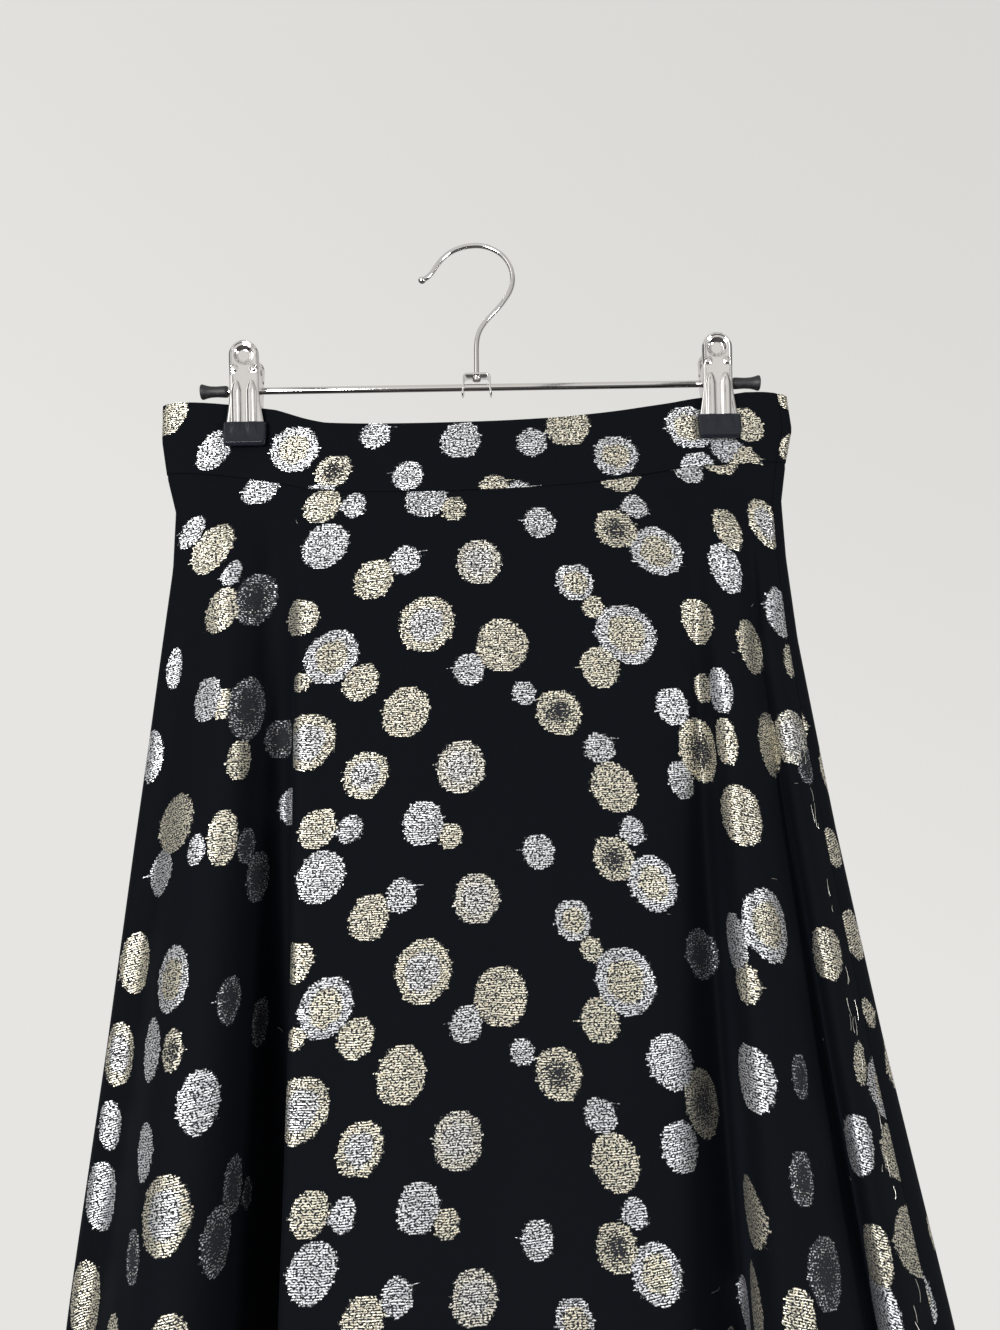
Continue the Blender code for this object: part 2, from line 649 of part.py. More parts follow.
def make_plate(name, x, way, nest, collection, cutters):
    """One half of a clip: a fluted, dimpled face with its sides bent back round the bar.
    way is -1 for the front plate and 1 for the back one, and nest draws its sides in."""
    height = CLIP_TOP_Z - JAW_FOOT_Z
    outer = []
    for row in PLATE_ROWS:
        z = JAW_FOOT_Z + row.up * height
        base = PLATE_JAW_Y + (PLATE_TOP_Y - PLATE_JAW_Y) * clamp((row.up - 0.2) / 0.8)
        half = row.half - nest
        line = [(-half, base - row.flange), (-half, base - row.flange / 2)]
        line += [(share * half, base + plate_relief(share * half, z)) for share in FACE_SHARES]
        line += [(half, base - row.flange / 2), (half, base - row.flange)]
        outer.append([Vector((x + across, way * out, z)) for across, out in line])
    mesh = bpy.data.meshes.new(name)
    shape = bmesh.new()
    grid = [[shape.verts.new(point) for point in line] for line in outer]
    for low, high in zip(grid, grid[1:]):
        for j in range(len(low) - 1):
            corners = (low[j], low[j + 1], high[j + 1], high[j])
            shape.faces.new(corners if way < 0 else corners[::-1])
    shape.to_mesh(mesh)
    shape.free()
    mesh.shade_smooth()
    piece = add_object(name, mesh, CHROME, collection)
    sheet = piece.modifiers.new("sheet", "SOLIDIFY")
    sheet.thickness = PLATE_THICK
    sheet.offset = -1.0
    cut(piece, f"{name}_hole", (x, 0, BAR_Z), BAR / 2 + 2 * SEAM_GAP, 0.03, "X", cutters)
    return piece


def rounded_block(name, size, centre, bevel, finish, collection):
    mesh = bpy.data.meshes.new(name)
    shape = bmesh.new()
    bmesh.ops.create_cube(shape, size=1.0)
    bmesh.ops.scale(shape, vec=size, verts=shape.verts)
    shape.to_mesh(mesh)
    shape.free()
    mesh.shade_smooth()
    piece = add_object(name, mesh, finish, collection)
    piece.location = centre
    edge = piece.modifiers.new("rounding", "BEVEL")
    edge.width = bevel
    edge.segments = 2
    return piece


def make_grip(name, x, way, collection, cutters):
    """The rubber sleeve on a jaw, with a slot that the plate's end stands in."""
    y = GRIP_FACE_Y + GRIP_DEPTH / 2
    size = (GRIP_WIDTH, GRIP_DEPTH, GRIP_TOP_Z - GRIP_FOOT_Z)
    centre = (x, way * y, (GRIP_TOP_Z + GRIP_FOOT_Z) / 2)
    piece = rounded_block(name, size, centre, 0.0011, RUBBER, collection)
    top, foot = GRIP_TOP_Z + 0.001, JAW_FOOT_Z - SEAM_GAP
    mesh = bpy.data.meshes.new(f"{name}_slot")
    shape = bmesh.new()
    bmesh.ops.create_cube(shape, size=1.0)
    bmesh.ops.scale(shape, vec=(0.0214, 0.0026, top - foot), verts=shape.verts)
    shape.to_mesh(mesh)
    shape.free()
    slot = bpy.data.objects.new(f"{name}_slot", mesh)
    cutters.objects.link(slot)
    slot.location = (x, way * (PLATE_JAW_Y - 0.0001), (top + foot) / 2)
    slot.hide_render = True
    slot.display_type = "WIRE"
    pocket = piece.modifiers.new("slot", "BOOLEAN")
    pocket.operation = "DIFFERENCE"
    pocket.object = slot
    return piece


def make_spring(name, x, collection):
    """The wound spring on the bar between a clip's plates, with an arm up inside each of them."""
    turns, per_turn, radius, pitch = 3, 10, 0.0034, 0.0014
    first, last = math.radians(60), math.radians(60 + 360 * turns + 60)
    count = turns * per_turn + 2
    coil = []
    for k in range(count):
        angle = first + (last - first) * k / (count - 1)
        along = x - turns * pitch / 2 + turns * pitch * k / (count - 1)
        coil.append((along, radius * math.cos(angle), BAR_Z + radius * math.sin(angle)))
    arms = [(coil[0][0], 0.0075, BAR_Z + 0.0110)], [(coil[-1][0], -0.0075, BAR_Z + 0.0110)]
    points = arms[0] + coil + arms[1]
    return wire_object(name, points, [1.0] * len(points), 0.0010, 1, CHROME, collection)


def make_clips(collection, cutters):
    for side, x in CLIP_X.items():
        for half, way, nest in (("front", -1, 0.0), ("back", 1, 0.0013)):
            make_plate(f"clip_{side}_{half}_plate", x, way, nest, collection, cutters)
            make_grip(f"clip_{side}_{half}_grip", x, way, collection, cutters)
        make_spring(f"clip_{side}_spring", x, collection)


def main():
    for old in list(bpy.data.objects):
        bpy.data.objects.remove(old, do_unlink=True)
    parts = bpy.data.collections.new("bubble_dot_skirt")
    cutters = bpy.data.collections.new("cutters")
    for collection in (parts, cutters):
        bpy.context.scene.collection.children.link(collection)
    make_waistband(parts)
    make_skirt(parts)
    make_hook(parts)
    make_saddle(parts, cutters)
    make_bar(parts)
    make_clips(parts, cutters)
    make_zip_tape(parts)
    axis = make_slider(parts, cutters)
    make_pull(axis, parts)


if __name__ == "__main__":
    main()
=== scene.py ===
"""Looks of a long flared skirt with woven metallic spots, clipped by its band to a chrome hanger.

Metres, +Z up, the front of the skirt towards -Y. The origin is the inner top of the hanger's hook. The
cloth follows the same named rows as the solids that it stands on, at a finer step, and its spots are
placed on the flat cloth, so they bend and turn with every fold.
"""

import logging
import math
import random
from dataclasses import dataclass, field
from enum import Enum
from typing import NamedTuple, Sequence

import bpy
import numpy as np
from mathutils import Euler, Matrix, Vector


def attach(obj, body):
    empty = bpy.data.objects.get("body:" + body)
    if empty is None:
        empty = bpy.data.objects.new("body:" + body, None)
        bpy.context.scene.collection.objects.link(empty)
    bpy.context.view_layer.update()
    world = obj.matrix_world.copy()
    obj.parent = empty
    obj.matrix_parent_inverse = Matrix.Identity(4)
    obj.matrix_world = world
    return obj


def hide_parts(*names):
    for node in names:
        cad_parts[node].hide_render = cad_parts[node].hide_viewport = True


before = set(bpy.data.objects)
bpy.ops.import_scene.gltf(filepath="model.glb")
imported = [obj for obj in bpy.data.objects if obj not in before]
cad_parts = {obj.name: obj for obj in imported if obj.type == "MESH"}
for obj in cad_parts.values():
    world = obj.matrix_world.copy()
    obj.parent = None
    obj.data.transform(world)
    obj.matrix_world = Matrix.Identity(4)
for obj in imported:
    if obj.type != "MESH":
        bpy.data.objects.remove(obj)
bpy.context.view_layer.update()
LOG = logging.getLogger("skirt")

HELD = "skirt_and_hanger"
CLIPS_X = (-0.1298, 0.1346)


class Row(NamedTuple):
    """One row down the cloth, placed across the ring at the waist seam and at the shown length."""

    name: str
    waist: float
    low: float
    proud: float
    sag: float
    start: float


class Outline(NamedTuple):
    """Half-widths of the hanging skirt at one drop below the waist seam."""

    drop: float
    left: float
    right: float


OUTLINE = (
    Outline(-0.040, 0.1775, 0.1750),
    Outline(-0.020, 0.1768, 0.1764),
    Outline(0.000, 0.1730, 0.1714),
    Outline(0.022, 0.1668, 0.1674),
    Outline(0.055, 0.1664, 0.1674),
    Outline(0.100, 0.1698, 0.1700),
    Outline(0.200, 0.1770, 0.1814),
    Outline(0.300, 0.1836, 0.1950),
    Outline(0.415, 0.1928, 0.2132),
    Outline(0.600, 0.2080, 0.2400),
    Outline(0.760, 0.2205, 0.2600),
)

FRONT_ROWS = (
    Row("left_side", -1.000, -1.000, 0.000, 0.0000, 0.00),
    Row("left_hip", -0.985, -1.000, 0.010, 0.0000, 0.00),
    Row("left_strip", -0.950, -0.965, 0.010, 0.0002, 0.05),
    Row("left_dip", -0.910, -0.905, -0.008, 0.0005, 0.05),
    Row("left_ridge", -0.865, -0.810, 0.020, 0.0010, 0.03),
    Row("left_crown", -0.810, -0.690, 0.027, 0.0018, 0.02),
    Row("left_brow", -0.760, -0.595, 0.022, 0.0028, 0.02),
    Row("left_flank", -0.715, -0.535, -0.008, 0.0042, 0.02),
    Row("left_valley", -0.675, -0.490, -0.052, 0.0055, 0.02),
    Row("left_tuck", -0.635, -0.430, -0.048, 0.0070, 0.03),
    Row("left_turn", -0.600, -0.418, -0.014, 0.0086, 0.04),
    Row("left_edge", -0.565, -0.458, 0.015, 0.0104, 0.05),
    Row("panel_left", -0.500, -0.390, 0.012, 0.0132, 0.05),
    Row("panel_near_left", -0.290, -0.230, 0.006, 0.0146, 0.05),
    Row("panel_middle", -0.060, -0.040, 0.004, 0.0146, 0.05),
    Row("panel_near_right", 0.170, 0.130, 0.002, 0.0135, 0.05),
    Row("panel_right", 0.380, 0.270, 0.000, 0.0108, 0.05),
    Row("panel_end", 0.530, 0.385, -0.002, 0.0070, 0.05),
    Row("right_dip", 0.625, 0.470, -0.014, 0.0035, 0.03),
    Row("right_valley", 0.680, 0.535, -0.036, 0.0015, 0.02),
    Row("right_turn", 0.720, 0.540, -0.020, 0.0006, 0.02),
    Row("right_edge", 0.755, 0.512, 0.016, 0.0000, 0.02),
    Row("right_ridge", 0.785, 0.545, 0.031, 0.0000, 0.02),
    Row("right_crown", 0.815, 0.625, 0.031, 0.0000, 0.02),
    Row("right_flank", 0.842, 0.715, 0.018, -0.0002, 0.02),
    Row("outer_valley", 0.866, 0.795, -0.012, -0.0004, 0.02),
    Row("outer_turn", 0.884, 0.808, -0.012, -0.0006, 0.02),
    Row("outer_edge", 0.897, 0.780, 0.006, -0.0008, 0.02),
    Row("outer_ridge", 0.918, 0.806, 0.018, -0.0010, 0.02),
    Row("outer_crown", 0.940, 0.858, 0.014, -0.0010, 0.02),
    Row("right_seam", 0.962, 0.915, 0.005, -0.0010, 0.03),
    Row("right_strip", 0.985, 0.975, 0.010, -0.0010, 0.03),
)

BACK_ROWS = (
    Row("right_side", 1.000, 1.000, 0.000, -0.0010, 0.00),
    Row("back_right_hip", 0.985, 0.995, 0.008, -0.0010, 0.00),
    Row("back_right_strip", 0.930, 0.925, 0.004, -0.0009, 0.03),
    Row("back_right_ridge", 0.850, 0.850, 0.004, -0.0005, 0.03),
    Row("back_right_flank", 0.760, 0.755, -0.006, 0.0000, 0.09),
    Row("back_right_valley", 0.690, 0.685, -0.036, 0.0006, 0.09),
    Row("back_right_rise", 0.620, 0.620, -0.006, 0.0030, 0.09),
    Row("back_middle_ridge", 0.530, 0.530, 0.005, 0.0065, 0.09),
    Row("back_middle_flank", 0.430, 0.425, -0.004, 0.0095, 0.09),
    Row("back_middle_valley", 0.350, 0.340, -0.034, 0.0115, 0.09),
    Row("back_middle_rise", 0.270, 0.260, -0.004, 0.0130, 0.09),
    Row("back_panel", 0.150, 0.150, 0.004, 0.0137, 0.09),
    Row("centre_back", 0.000, 0.000, 0.002, 0.0145, 0.04),
    Row("back_panel_left", -0.130, -0.130, 0.004, 0.0146, 0.09),
    Row("back_left_rise", -0.215, -0.205, -0.004, 0.0146, 0.09),
    Row("back_left_valley", -0.290, -0.280, -0.036, 0.0146, 0.09),
    Row("back_left_flank", -0.370, -0.365, -0.004, 0.0144, 0.09),
    Row("back_left_ridge", -0.480, -0.480, 0.005, 0.0135, 0.09),
    Row("back_outer_flank", -0.570, -0.575, -0.006, 0.0112, 0.09),
    Row("back_outer_valley", -0.640, -0.645, -0.034, 0.0070, 0.09),
    Row("back_outer_rise", -0.715, -0.720, -0.006, 0.0032, 0.09),
    Row("back_left_crown", -0.810, -0.815, 0.005, 0.0008, 0.03),
    Row("back_left_strip", -0.920, -0.920, 0.004, 0.0002, 0.03),
    Row("left_seam", -0.985, -0.995, 0.006, 0.0000, 0.00),
)


class Weave(Enum):
    """How a spot's threads are laid: goldness of its heart and of its rim, and how much painted shade
    darkens its heart.
    """

    SILVER = (0.0, 0.0, 0.0)
    GOLD = (1.0, 1.0, 0.0)
    SILVER_RIM = (1.0, 0.0, 0.0)
    GOLD_RIM = (0.1, 1.0, 0.1)
    # The last value is painted shade: these spots are darkened and their threads thinned, standing in for
    # threads turned from the light or lying in a shaded fold.
    DARK_HEART = (1.0, 1.0, 0.62)
    DARK_SILVER = (0.4, 0.0, 1.05)
    HALVES = (0.3, 0.7, 0.0)


class Spot(NamedTuple):
    """One woven spot on the flat cloth, in millimetres: its middle, its height, its weave and its spread."""

    across: float
    down: float
    height: float
    weave: Weave
    spread: float = 1.0


# Millimetres on the flat cloth. The pattern repeats across and down, and the middle of the front repeats
# three times in that depth. The sides are listed down to SIDES_LISTED, and below it they take spots from
# two thirds of the depth higher up.
REPEAT_ACROSS = 860.0
REPEAT_DOWN = 508.5
THIRD_REPEAT = REPEAT_DOWN / 3
SIDES_LISTED = 392.0
REPEAT_MARGIN = 6.0
BAND_REPEAT_ACROSS = 352.0
BAND_REPEAT_DOWN = 168.0

# The places of the spots that show in front were measured: read off the picture by eye and cast onto the
# flat cloth by a separate calculation, then rounded. Those of the hidden sides were placed by hand.
LEFT_SPOTS = (
    Spot(-126, 12, 17, Weave.SILVER),
    Spot(-115, 25, 27, Weave.GOLD),
    Spot(-105, 42, 14, Weave.SILVER, 0.8),
    Spot(-94, 56, 28, Weave.DARK_SILVER, 0.8),
    Spot(-113, 61, 23, Weave.GOLD),
    Spot(-150, 82, 21, Weave.SILVER, 0.65),
    Spot(-131, 105, 22, Weave.SILVER),
    Spot(-123, 109, 15, Weave.GOLD),
    Spot(-110, 112, 31, Weave.DARK_SILVER, 0.8),
    Spot(-122, 137, 20, Weave.GOLD, 0.85),
    Spot(-178, 122, 25, Weave.SILVER, 0.8),
    Spot(-171, 160, 28, Weave.GOLD, 1.5),
    Spot(-142, 173, 26, Weave.GOLD, 0.85),
    Spot(-158, 176, 15, Weave.SILVER),
    Spot(-190, 180, 21, Weave.SILVER, 1.5),
    Spot(-129, 178, 17, Weave.DARK_SILVER),
    Spot(-124, 194, 24, Weave.DARK_SILVER),
    Spot(-226, 217, 27, Weave.GOLD, 1.15),
    Spot(-191, 231, 29, Weave.SILVER_RIM, 1.1),
    Spot(-161, 246, 21, Weave.DARK_SILVER),
    Spot(-254, 255, 28, Weave.GOLD_RIM),
    Spot(-217, 259, 27, Weave.SILVER),
    Spot(-199, 262, 18, Weave.DARK_HEART),
    Spot(-140, 262, 22, Weave.DARK_SILVER),
    Spot(-192, 285, 27, Weave.SILVER, 1.15),
    Spot(-273, 284, 21, Weave.SILVER),
    Spot(-232, 300, 23, Weave.SILVER),
    Spot(-292, 313, 30, Weave.SILVER),
    Spot(-225, 326, 32, Weave.GOLD_RIM, 1.25),
    Spot(-184, 325, 24, Weave.DARK_SILVER, 0.9),
    Spot(-173, 333, 14, Weave.DARK_SILVER),
    Spot(-202, 343, 27, Weave.DARK_SILVER),
    Spot(-322, 353, 31, Weave.GOLD),
    Spot(-255, 340, 22, Weave.DARK_SILVER),
    Spot(-240, 376, 28, Weave.GOLD),
    Spot(-290, 374, 28, Weave.GOLD),
    Spot(-191, 18, 14, Weave.SILVER),
    Spot(-204, 52, 15, Weave.SILVER),
    Spot(-226, 72, 13, Weave.GOLD),
    Spot(-262, 66, 20, Weave.GOLD),
    Spot(-288, 78, 25, Weave.SILVER_RIM),
    Spot(-318, 52, 18, Weave.SILVER),
    Spot(-344, 40, 20, Weave.GOLD),
    Spot(-366, 70, 26, Weave.SILVER_RIM),
    Spot(-392, 22, 22, Weave.SILVER),
    Spot(-404, 58, 14, Weave.GOLD),
    Spot(-420, 92, 24, Weave.GOLD),
    Spot(-216, 96, 18, Weave.SILVER),
    Spot(-255, 108, 22, Weave.SILVER),
    Spot(-290, 116, 14, Weave.GOLD),
    Spot(-322, 100, 26, Weave.GOLD),
    Spot(-360, 112, 20, Weave.SILVER),
    Spot(-392, 118, 24, Weave.SILVER_RIM),
    Spot(-233, 140, 20, Weave.GOLD),
    Spot(-274, 148, 24, Weave.SILVER),
    Spot(-310, 144, 16, Weave.SILVER),
    Spot(-340, 152, 28, Weave.GOLD_RIM),
    Spot(-378, 158, 18, Weave.GOLD),
    Spot(-412, 150, 20, Weave.SILVER),
    Spot(-262, 184, 22, Weave.GOLD),
    Spot(-296, 180, 20, Weave.SILVER),
    Spot(-322, 196, 24, Weave.SILVER_RIM),
    Spot(-356, 188, 14, Weave.SILVER),
    Spot(-388, 196, 26, Weave.GOLD),
    Spot(-420, 186, 18, Weave.SILVER),
    Spot(-290, 222, 22, Weave.SILVER),
    Spot(-318, 236, 20, Weave.GOLD),
    Spot(-346, 222, 16, Weave.SILVER),
    Spot(-372, 238, 26, Weave.SILVER),
    Spot(-408, 226, 20, Weave.GOLD),
    Spot(-302, 258, 14, Weave.GOLD),
    Spot(-330, 270, 24, Weave.SILVER_RIM),
    Spot(-364, 276, 18, Weave.GOLD),
    Spot(-396, 264, 22, Weave.SILVER),
    Spot(-424, 282, 26, Weave.GOLD),
    Spot(-326, 306, 20, Weave.GOLD),
    Spot(-352, 312, 26, Weave.SILVER),
    Spot(-384, 302, 14, Weave.SILVER),
    Spot(-410, 318, 20, Weave.SILVER),
    Spot(-346, 334, 16, Weave.GOLD),
)

MIDDLE_SPOTS = (
    Spot(-92, 127, 20, Weave.DARK_SILVER),
    Spot(-90, 161, 20, Weave.SILVER),
    Spot(-67, 66, 20, Weave.GOLD),
    Spot(-66, 100, 11, Weave.GOLD),
    Spot(-62, 130, 29, Weave.GOLD_RIM),
    Spot(-56, 3, 20, Weave.GOLD),
    Spot(-54, 26, 25, Weave.SILVER),
    Spot(-50, 86, 28, Weave.SILVER_RIM),
    Spot(-39, 4, 14, Weave.SILVER),
    Spot(-34, 100, 19, Weave.GOLD),
    Spot(-31, 147, 24, Weave.GOLD_RIM),
    Spot(-28, 46, 22, Weave.GOLD),
    Spot(-11, 37, 16, Weave.SILVER),
    Spot(-10, 117, 26, Weave.GOLD),
    Spot(0, 3, 22, Weave.SILVER),
    Spot(1, 72, 30, Weave.GOLD_RIM),
    Spot(15, 10, 13, Weave.GOLD),
    Spot(20, 146, 26, Weave.HALVES),
    Spot(24, 97, 17, Weave.SILVER),
    Spot(29, 40, 24, Weave.HALVES),
    Spot(42, 85, 28, Weave.GOLD),
    Spot(54, 110, 13, Weave.SILVER),
    Spot(62, 19, 17, Weave.SILVER),
    Spot(73, 120, 24, Weave.DARK_HEART),
    Spot(81, 52, 20, Weave.SILVER_RIM),
    Spot(91, 66, 12, Weave.GOLD),
    Spot(95, 98, 21, Weave.GOLD),
    Spot(95, 139, 16, Weave.SILVER),
    Spot(103, 159, 25, Weave.GOLD),
    Spot(103, 24, 22, Weave.DARK_HEART),
    Spot(109, 81, 32, Weave.SILVER_RIM),
    Spot(113, 11, 14, Weave.SILVER),
    Spot(125, 37, 27, Weave.SILVER_RIM),
    Spot(136, 120, 20, Weave.SILVER),
)

RIGHT_SPOTS = (
    Spot(149, 75, 25, Weave.GOLD, 0.85),
    Spot(156, 110, 15, Weave.GOLD),
    Spot(155, 142, 33, Weave.DARK_HEART),
    Spot(142, 157, 20, Weave.SILVER, 0.85),
    Spot(163, 22, 24, Weave.GOLD, 0.75),
    Spot(163, 45, 27, Weave.SILVER, 0.8),
    Spot(183, 14, 28, Weave.GOLD_RIM, 0.85),
    Spot(184, 84, 27, Weave.GOLD),
    Spot(200, 61, 26, Weave.SILVER),
    Spot(214, 84, 16, Weave.GOLD),
    Spot(168, 111, 24, Weave.SILVER, 0.75),
    Spot(176, 137, 24, Weave.GOLD, 0.7),
    Spot(208, 131, 32, Weave.GOLD),
    Spot(226, 123, 28, Weave.HALVES, 1.2),
    Spot(240, 134, 20, Weave.DARK_SILVER),
    Spot(191, 172, 29, Weave.GOLD, 1.2),
    Spot(216, 220, 33, Weave.SILVER_RIM, 1.25),
    Spot(197, 231, 26, Weave.SILVER),
    Spot(209, 248, 18, Weave.GOLD, 1.2),
    Spot(158, 242, 25, Weave.DARK_SILVER, 1.2),
    Spot(283, 220, 24, Weave.GOLD, 1.35),
    Spot(135, 289, 27, Weave.SILVER),
    Spot(220, 288, 28, Weave.SILVER, 1.35),
    Spot(250, 283, 20, Weave.DARK_SILVER),
    Spot(323, 263, 18, Weave.GOLD),
    Spot(355, 268, 28, Weave.SILVER_RIM, 2.2),
    Spot(158, 310, 33, Weave.DARK_HEART),
    Spot(140, 326, 24, Weave.SILVER),
    Spot(332, 298, 26, Weave.SILVER, 1.2),
    Spot(369, 294, 23, Weave.GOLD, 2.2),
    Spot(226, 345, 27, Weave.GOLD, 1.6),
    Spot(257, 324, 22, Weave.DARK_SILVER),
    Spot(395, 328, 28, Weave.GOLD, 2.4),
    Spot(361, 342, 31, Weave.GOLD),
    Spot(371, 366, 36, Weave.SILVER, 1.3),
    Spot(281, 358, 28, Weave.DARK_SILVER, 1.4),
    Spot(233, 384, 34, Weave.GOLD),
    Spot(266, 376, 24, Weave.GOLD),
    Spot(278, 168, 20, Weave.GOLD),
    Spot(254, 76, 14, Weave.GOLD),
    Spot(280, 70, 18, Weave.SILVER),
    Spot(320, 20, 22, Weave.SILVER_RIM),
    Spot(336, 56, 20, Weave.SILVER),
    Spot(402, 44, 16, Weave.SILVER),
    Spot(408, 16, 20, Weave.GOLD),
    Spot(284, 98, 15, Weave.SILVER),
    Spot(340, 94, 16, Weave.GOLD),
    Spot(368, 72, 24, Weave.GOLD),
    Spot(398, 84, 22, Weave.SILVER),
    Spot(296, 130, 22, Weave.GOLD),
    Spot(350, 128, 26, Weave.SILVER_RIM),
    Spot(384, 112, 16, Weave.SILVER),
    Spot(412, 122, 24, Weave.GOLD),
    Spot(344, 166, 14, Weave.GOLD),
    Spot(372, 152, 22, Weave.GOLD),
    Spot(402, 162, 28, Weave.GOLD_RIM),
    Spot(337, 192, 24, Weave.GOLD),
    Spot(362, 190, 20, Weave.SILVER),
    Spot(388, 204, 24, Weave.SILVER_RIM),
    Spot(416, 194, 18, Weave.GOLD),
    Spot(366, 226, 18, Weave.GOLD),
    Spot(398, 238, 22, Weave.SILVER),
    Spot(386, 266, 24, Weave.GOLD),
    Spot(414, 274, 20, Weave.SILVER),
    Spot(408, 300, 14, Weave.GOLD),
)


class SpotChart:
    """The cloth's spots as arrays in metres, with its repeat, to find those nearest to any place on it."""

    def __init__(self, spots: Sequence[Spot], across: float, down: float) -> None:
        """Keeps the chart.

        Args:
            spots: the listed spots, in millimetres.
            across: the repeat across the cloth, in millimetres.
            down: the repeat down the cloth, in millimetres.
        """
        self.middles = np.array([(spot.across, spot.down) for spot in spots]) / 1000.0
        self.radii = np.array([spot.height for spot in spots]) / 2000.0
        self.looks = np.array([spot.weave.value for spot in spots])
        self.spreads = np.array([spot.spread for spot in spots])
        self.repeat = np.array([across, down]) / 1000.0

    def nearest(self, places: np.ndarray, rank: int) -> tuple[np.ndarray, np.ndarray]:
        """Finds a near spot for each place.

        Args:
            places: places on the flat cloth, one row each.
            rank: 0 for the nearest spot, 1 for the next.

        Returns:
            The spot's middle beside each place, and the spot's number.
        """
        offsets = places[:, None, :] - self.middles[None, :, :]
        offsets -= np.round(offsets / self.repeat) * self.repeat
        distances = np.hypot(offsets[..., 0], offsets[..., 1]) - self.radii[None, :]
        chosen = np.argsort(distances, axis=1)[:, rank]
        rows = np.arange(len(places))
        return places - offsets[rows, chosen], chosen


BAND_SPOTS = (
    Spot(-170, -33, 22, Weave.GOLD),
    Spot(-146, -14, 23, Weave.SILVER),
    Spot(-101, -21, 27, Weave.SILVER_RIM),
    Spot(-79, -11, 20, Weave.DARK_HEART),
    Spot(-86, 4, 18, Weave.SILVER),
    Spot(-38, -9, 17, Weave.SILVER),
    Spot(-56, -33, 16, Weave.SILVER),
    Spot(-9, -29, 22, Weave.SILVER),
    Spot(9, 0, 16, Weave.GOLD),
    Spot(23, 4, 16, Weave.SILVER),
    Spot(30, -26, 16, Weave.SILVER),
    Spot(50, -34, 24, Weave.GOLD),
    Spot(76, -14, 24, Weave.SILVER_RIM),
    Spot(118, -24, 26, Weave.SILVER_RIM),
    Spot(122, 1, 20, Weave.SILVER),
    Spot(138, -10, 18, Weave.SILVER),
    Spot(150, -22, 20, Weave.GOLD),
    Spot(147, -2, 18, Weave.GOLD),
)


class Crease(NamedTuple):
    """A soft ridge or trough: where it starts and ends across and down, its half-width and its rise."""

    across_top: float
    across_foot: float
    top: float
    foot: float
    half_width: float
    rise: float


FRONT_CREASES = (
    Crease(-0.128, -0.150, 0.004, 0.190, 0.0075, 0.0022),
    Crease(-0.108, -0.118, 0.002, 0.120, 0.0060, -0.0018),
    Crease(-0.086, -0.096, 0.010, 0.230, 0.0090, 0.0014),
    Crease(-0.060, -0.064, 0.000, 0.090, 0.0080, -0.0008),
    Crease(-0.022, -0.018, 0.004, 0.120, 0.0120, 0.0007),
    Crease(0.031, 0.040, 0.000, 0.160, 0.0130, -0.0009),
    Crease(0.072, 0.070, 0.006, 0.140, 0.0080, 0.0010),
    Crease(0.104, 0.112, 0.002, 0.210, 0.0075, 0.0019),
    Crease(0.122, 0.133, 0.004, 0.120, 0.0055, -0.0015),
    Crease(0.148, 0.170, 0.006, 0.170, 0.0060, 0.0014),
    Crease(-0.040, -0.034, 0.250, 0.560, 0.0180, 0.0014),
    Crease(0.012, 0.004, 0.180, 0.500, 0.0160, -0.0012),
    Crease(0.052, 0.058, 0.300, 0.700, 0.0170, 0.0016),
    Crease(-0.200, -0.265, 0.220, 0.640, 0.0120, 0.0022),
    Crease(-0.240, -0.290, 0.300, 0.700, 0.0100, -0.0018),
    Crease(0.205, 0.300, 0.240, 0.660, 0.0110, -0.0016),
)

BACK_CREASES = (
    Crease(0.020, 0.026, 0.010, 0.190, 0.0080, 0.0010),
    Crease(0.052, 0.060, 0.002, 0.150, 0.0070, -0.0012),
    Crease(0.092, 0.108, 0.006, 0.210, 0.0080, 0.0016),
    Crease(0.126, 0.150, 0.004, 0.130, 0.0060, -0.0014),
    Crease(0.150, 0.190, 0.060, 0.330, 0.0100, 0.0014),
    Crease(0.045, 0.055, 0.260, 0.600, 0.0160, 0.0015),
    Crease(0.110, 0.150, 0.340, 0.690, 0.0140, -0.0015),
)


class Lift(NamedTuple):
    """How far the band's top edge stands above its seam line at one place across."""

    across: float
    rise: float


BAND_LIFTS = (
    Lift(-0.178, 0.0012),
    Lift(-0.165, 0.0022),
    Lift(-0.150, 0.0026),
    Lift(-0.130, 0.0034),
    Lift(-0.112, 0.0036),
    Lift(-0.098, 0.0018),
    Lift(-0.084, 0.0000),
    Lift(0.110, 0.0000),
    Lift(0.130, 0.0010),
    Lift(0.150, 0.0026),
    Lift(0.165, 0.0012),
    Lift(0.176, 0.0000),
)

BAND_CREASES = (
    Crease(-0.150, -0.142, -0.044, 0.004, 0.0070, 0.0006),
    Crease(-0.060, -0.066, -0.044, 0.004, 0.0130, -0.0007),
    Crease(-0.012, -0.006, -0.044, 0.004, 0.0150, 0.0005),
    Crease(0.046, 0.040, -0.044, 0.004, 0.0120, -0.0006),
    Crease(0.092, 0.098, -0.044, 0.004, 0.0090, 0.0006),
)


EDGE_TURN = 0.44 * math.pi


def ease(share: np.ndarray | float) -> np.ndarray | float:
    """A smooth step from 0 to 1."""
    held = np.clip(share, 0.0, 1.0)
    return held * held * (3.0 - 2.0 * held)


def even_out(share: float) -> float:
    """Draws a share from -1 to 1 towards the ends, so that steps are finest at the edges."""
    return math.sin(share * EDGE_TURN) / math.sin(EDGE_TURN)


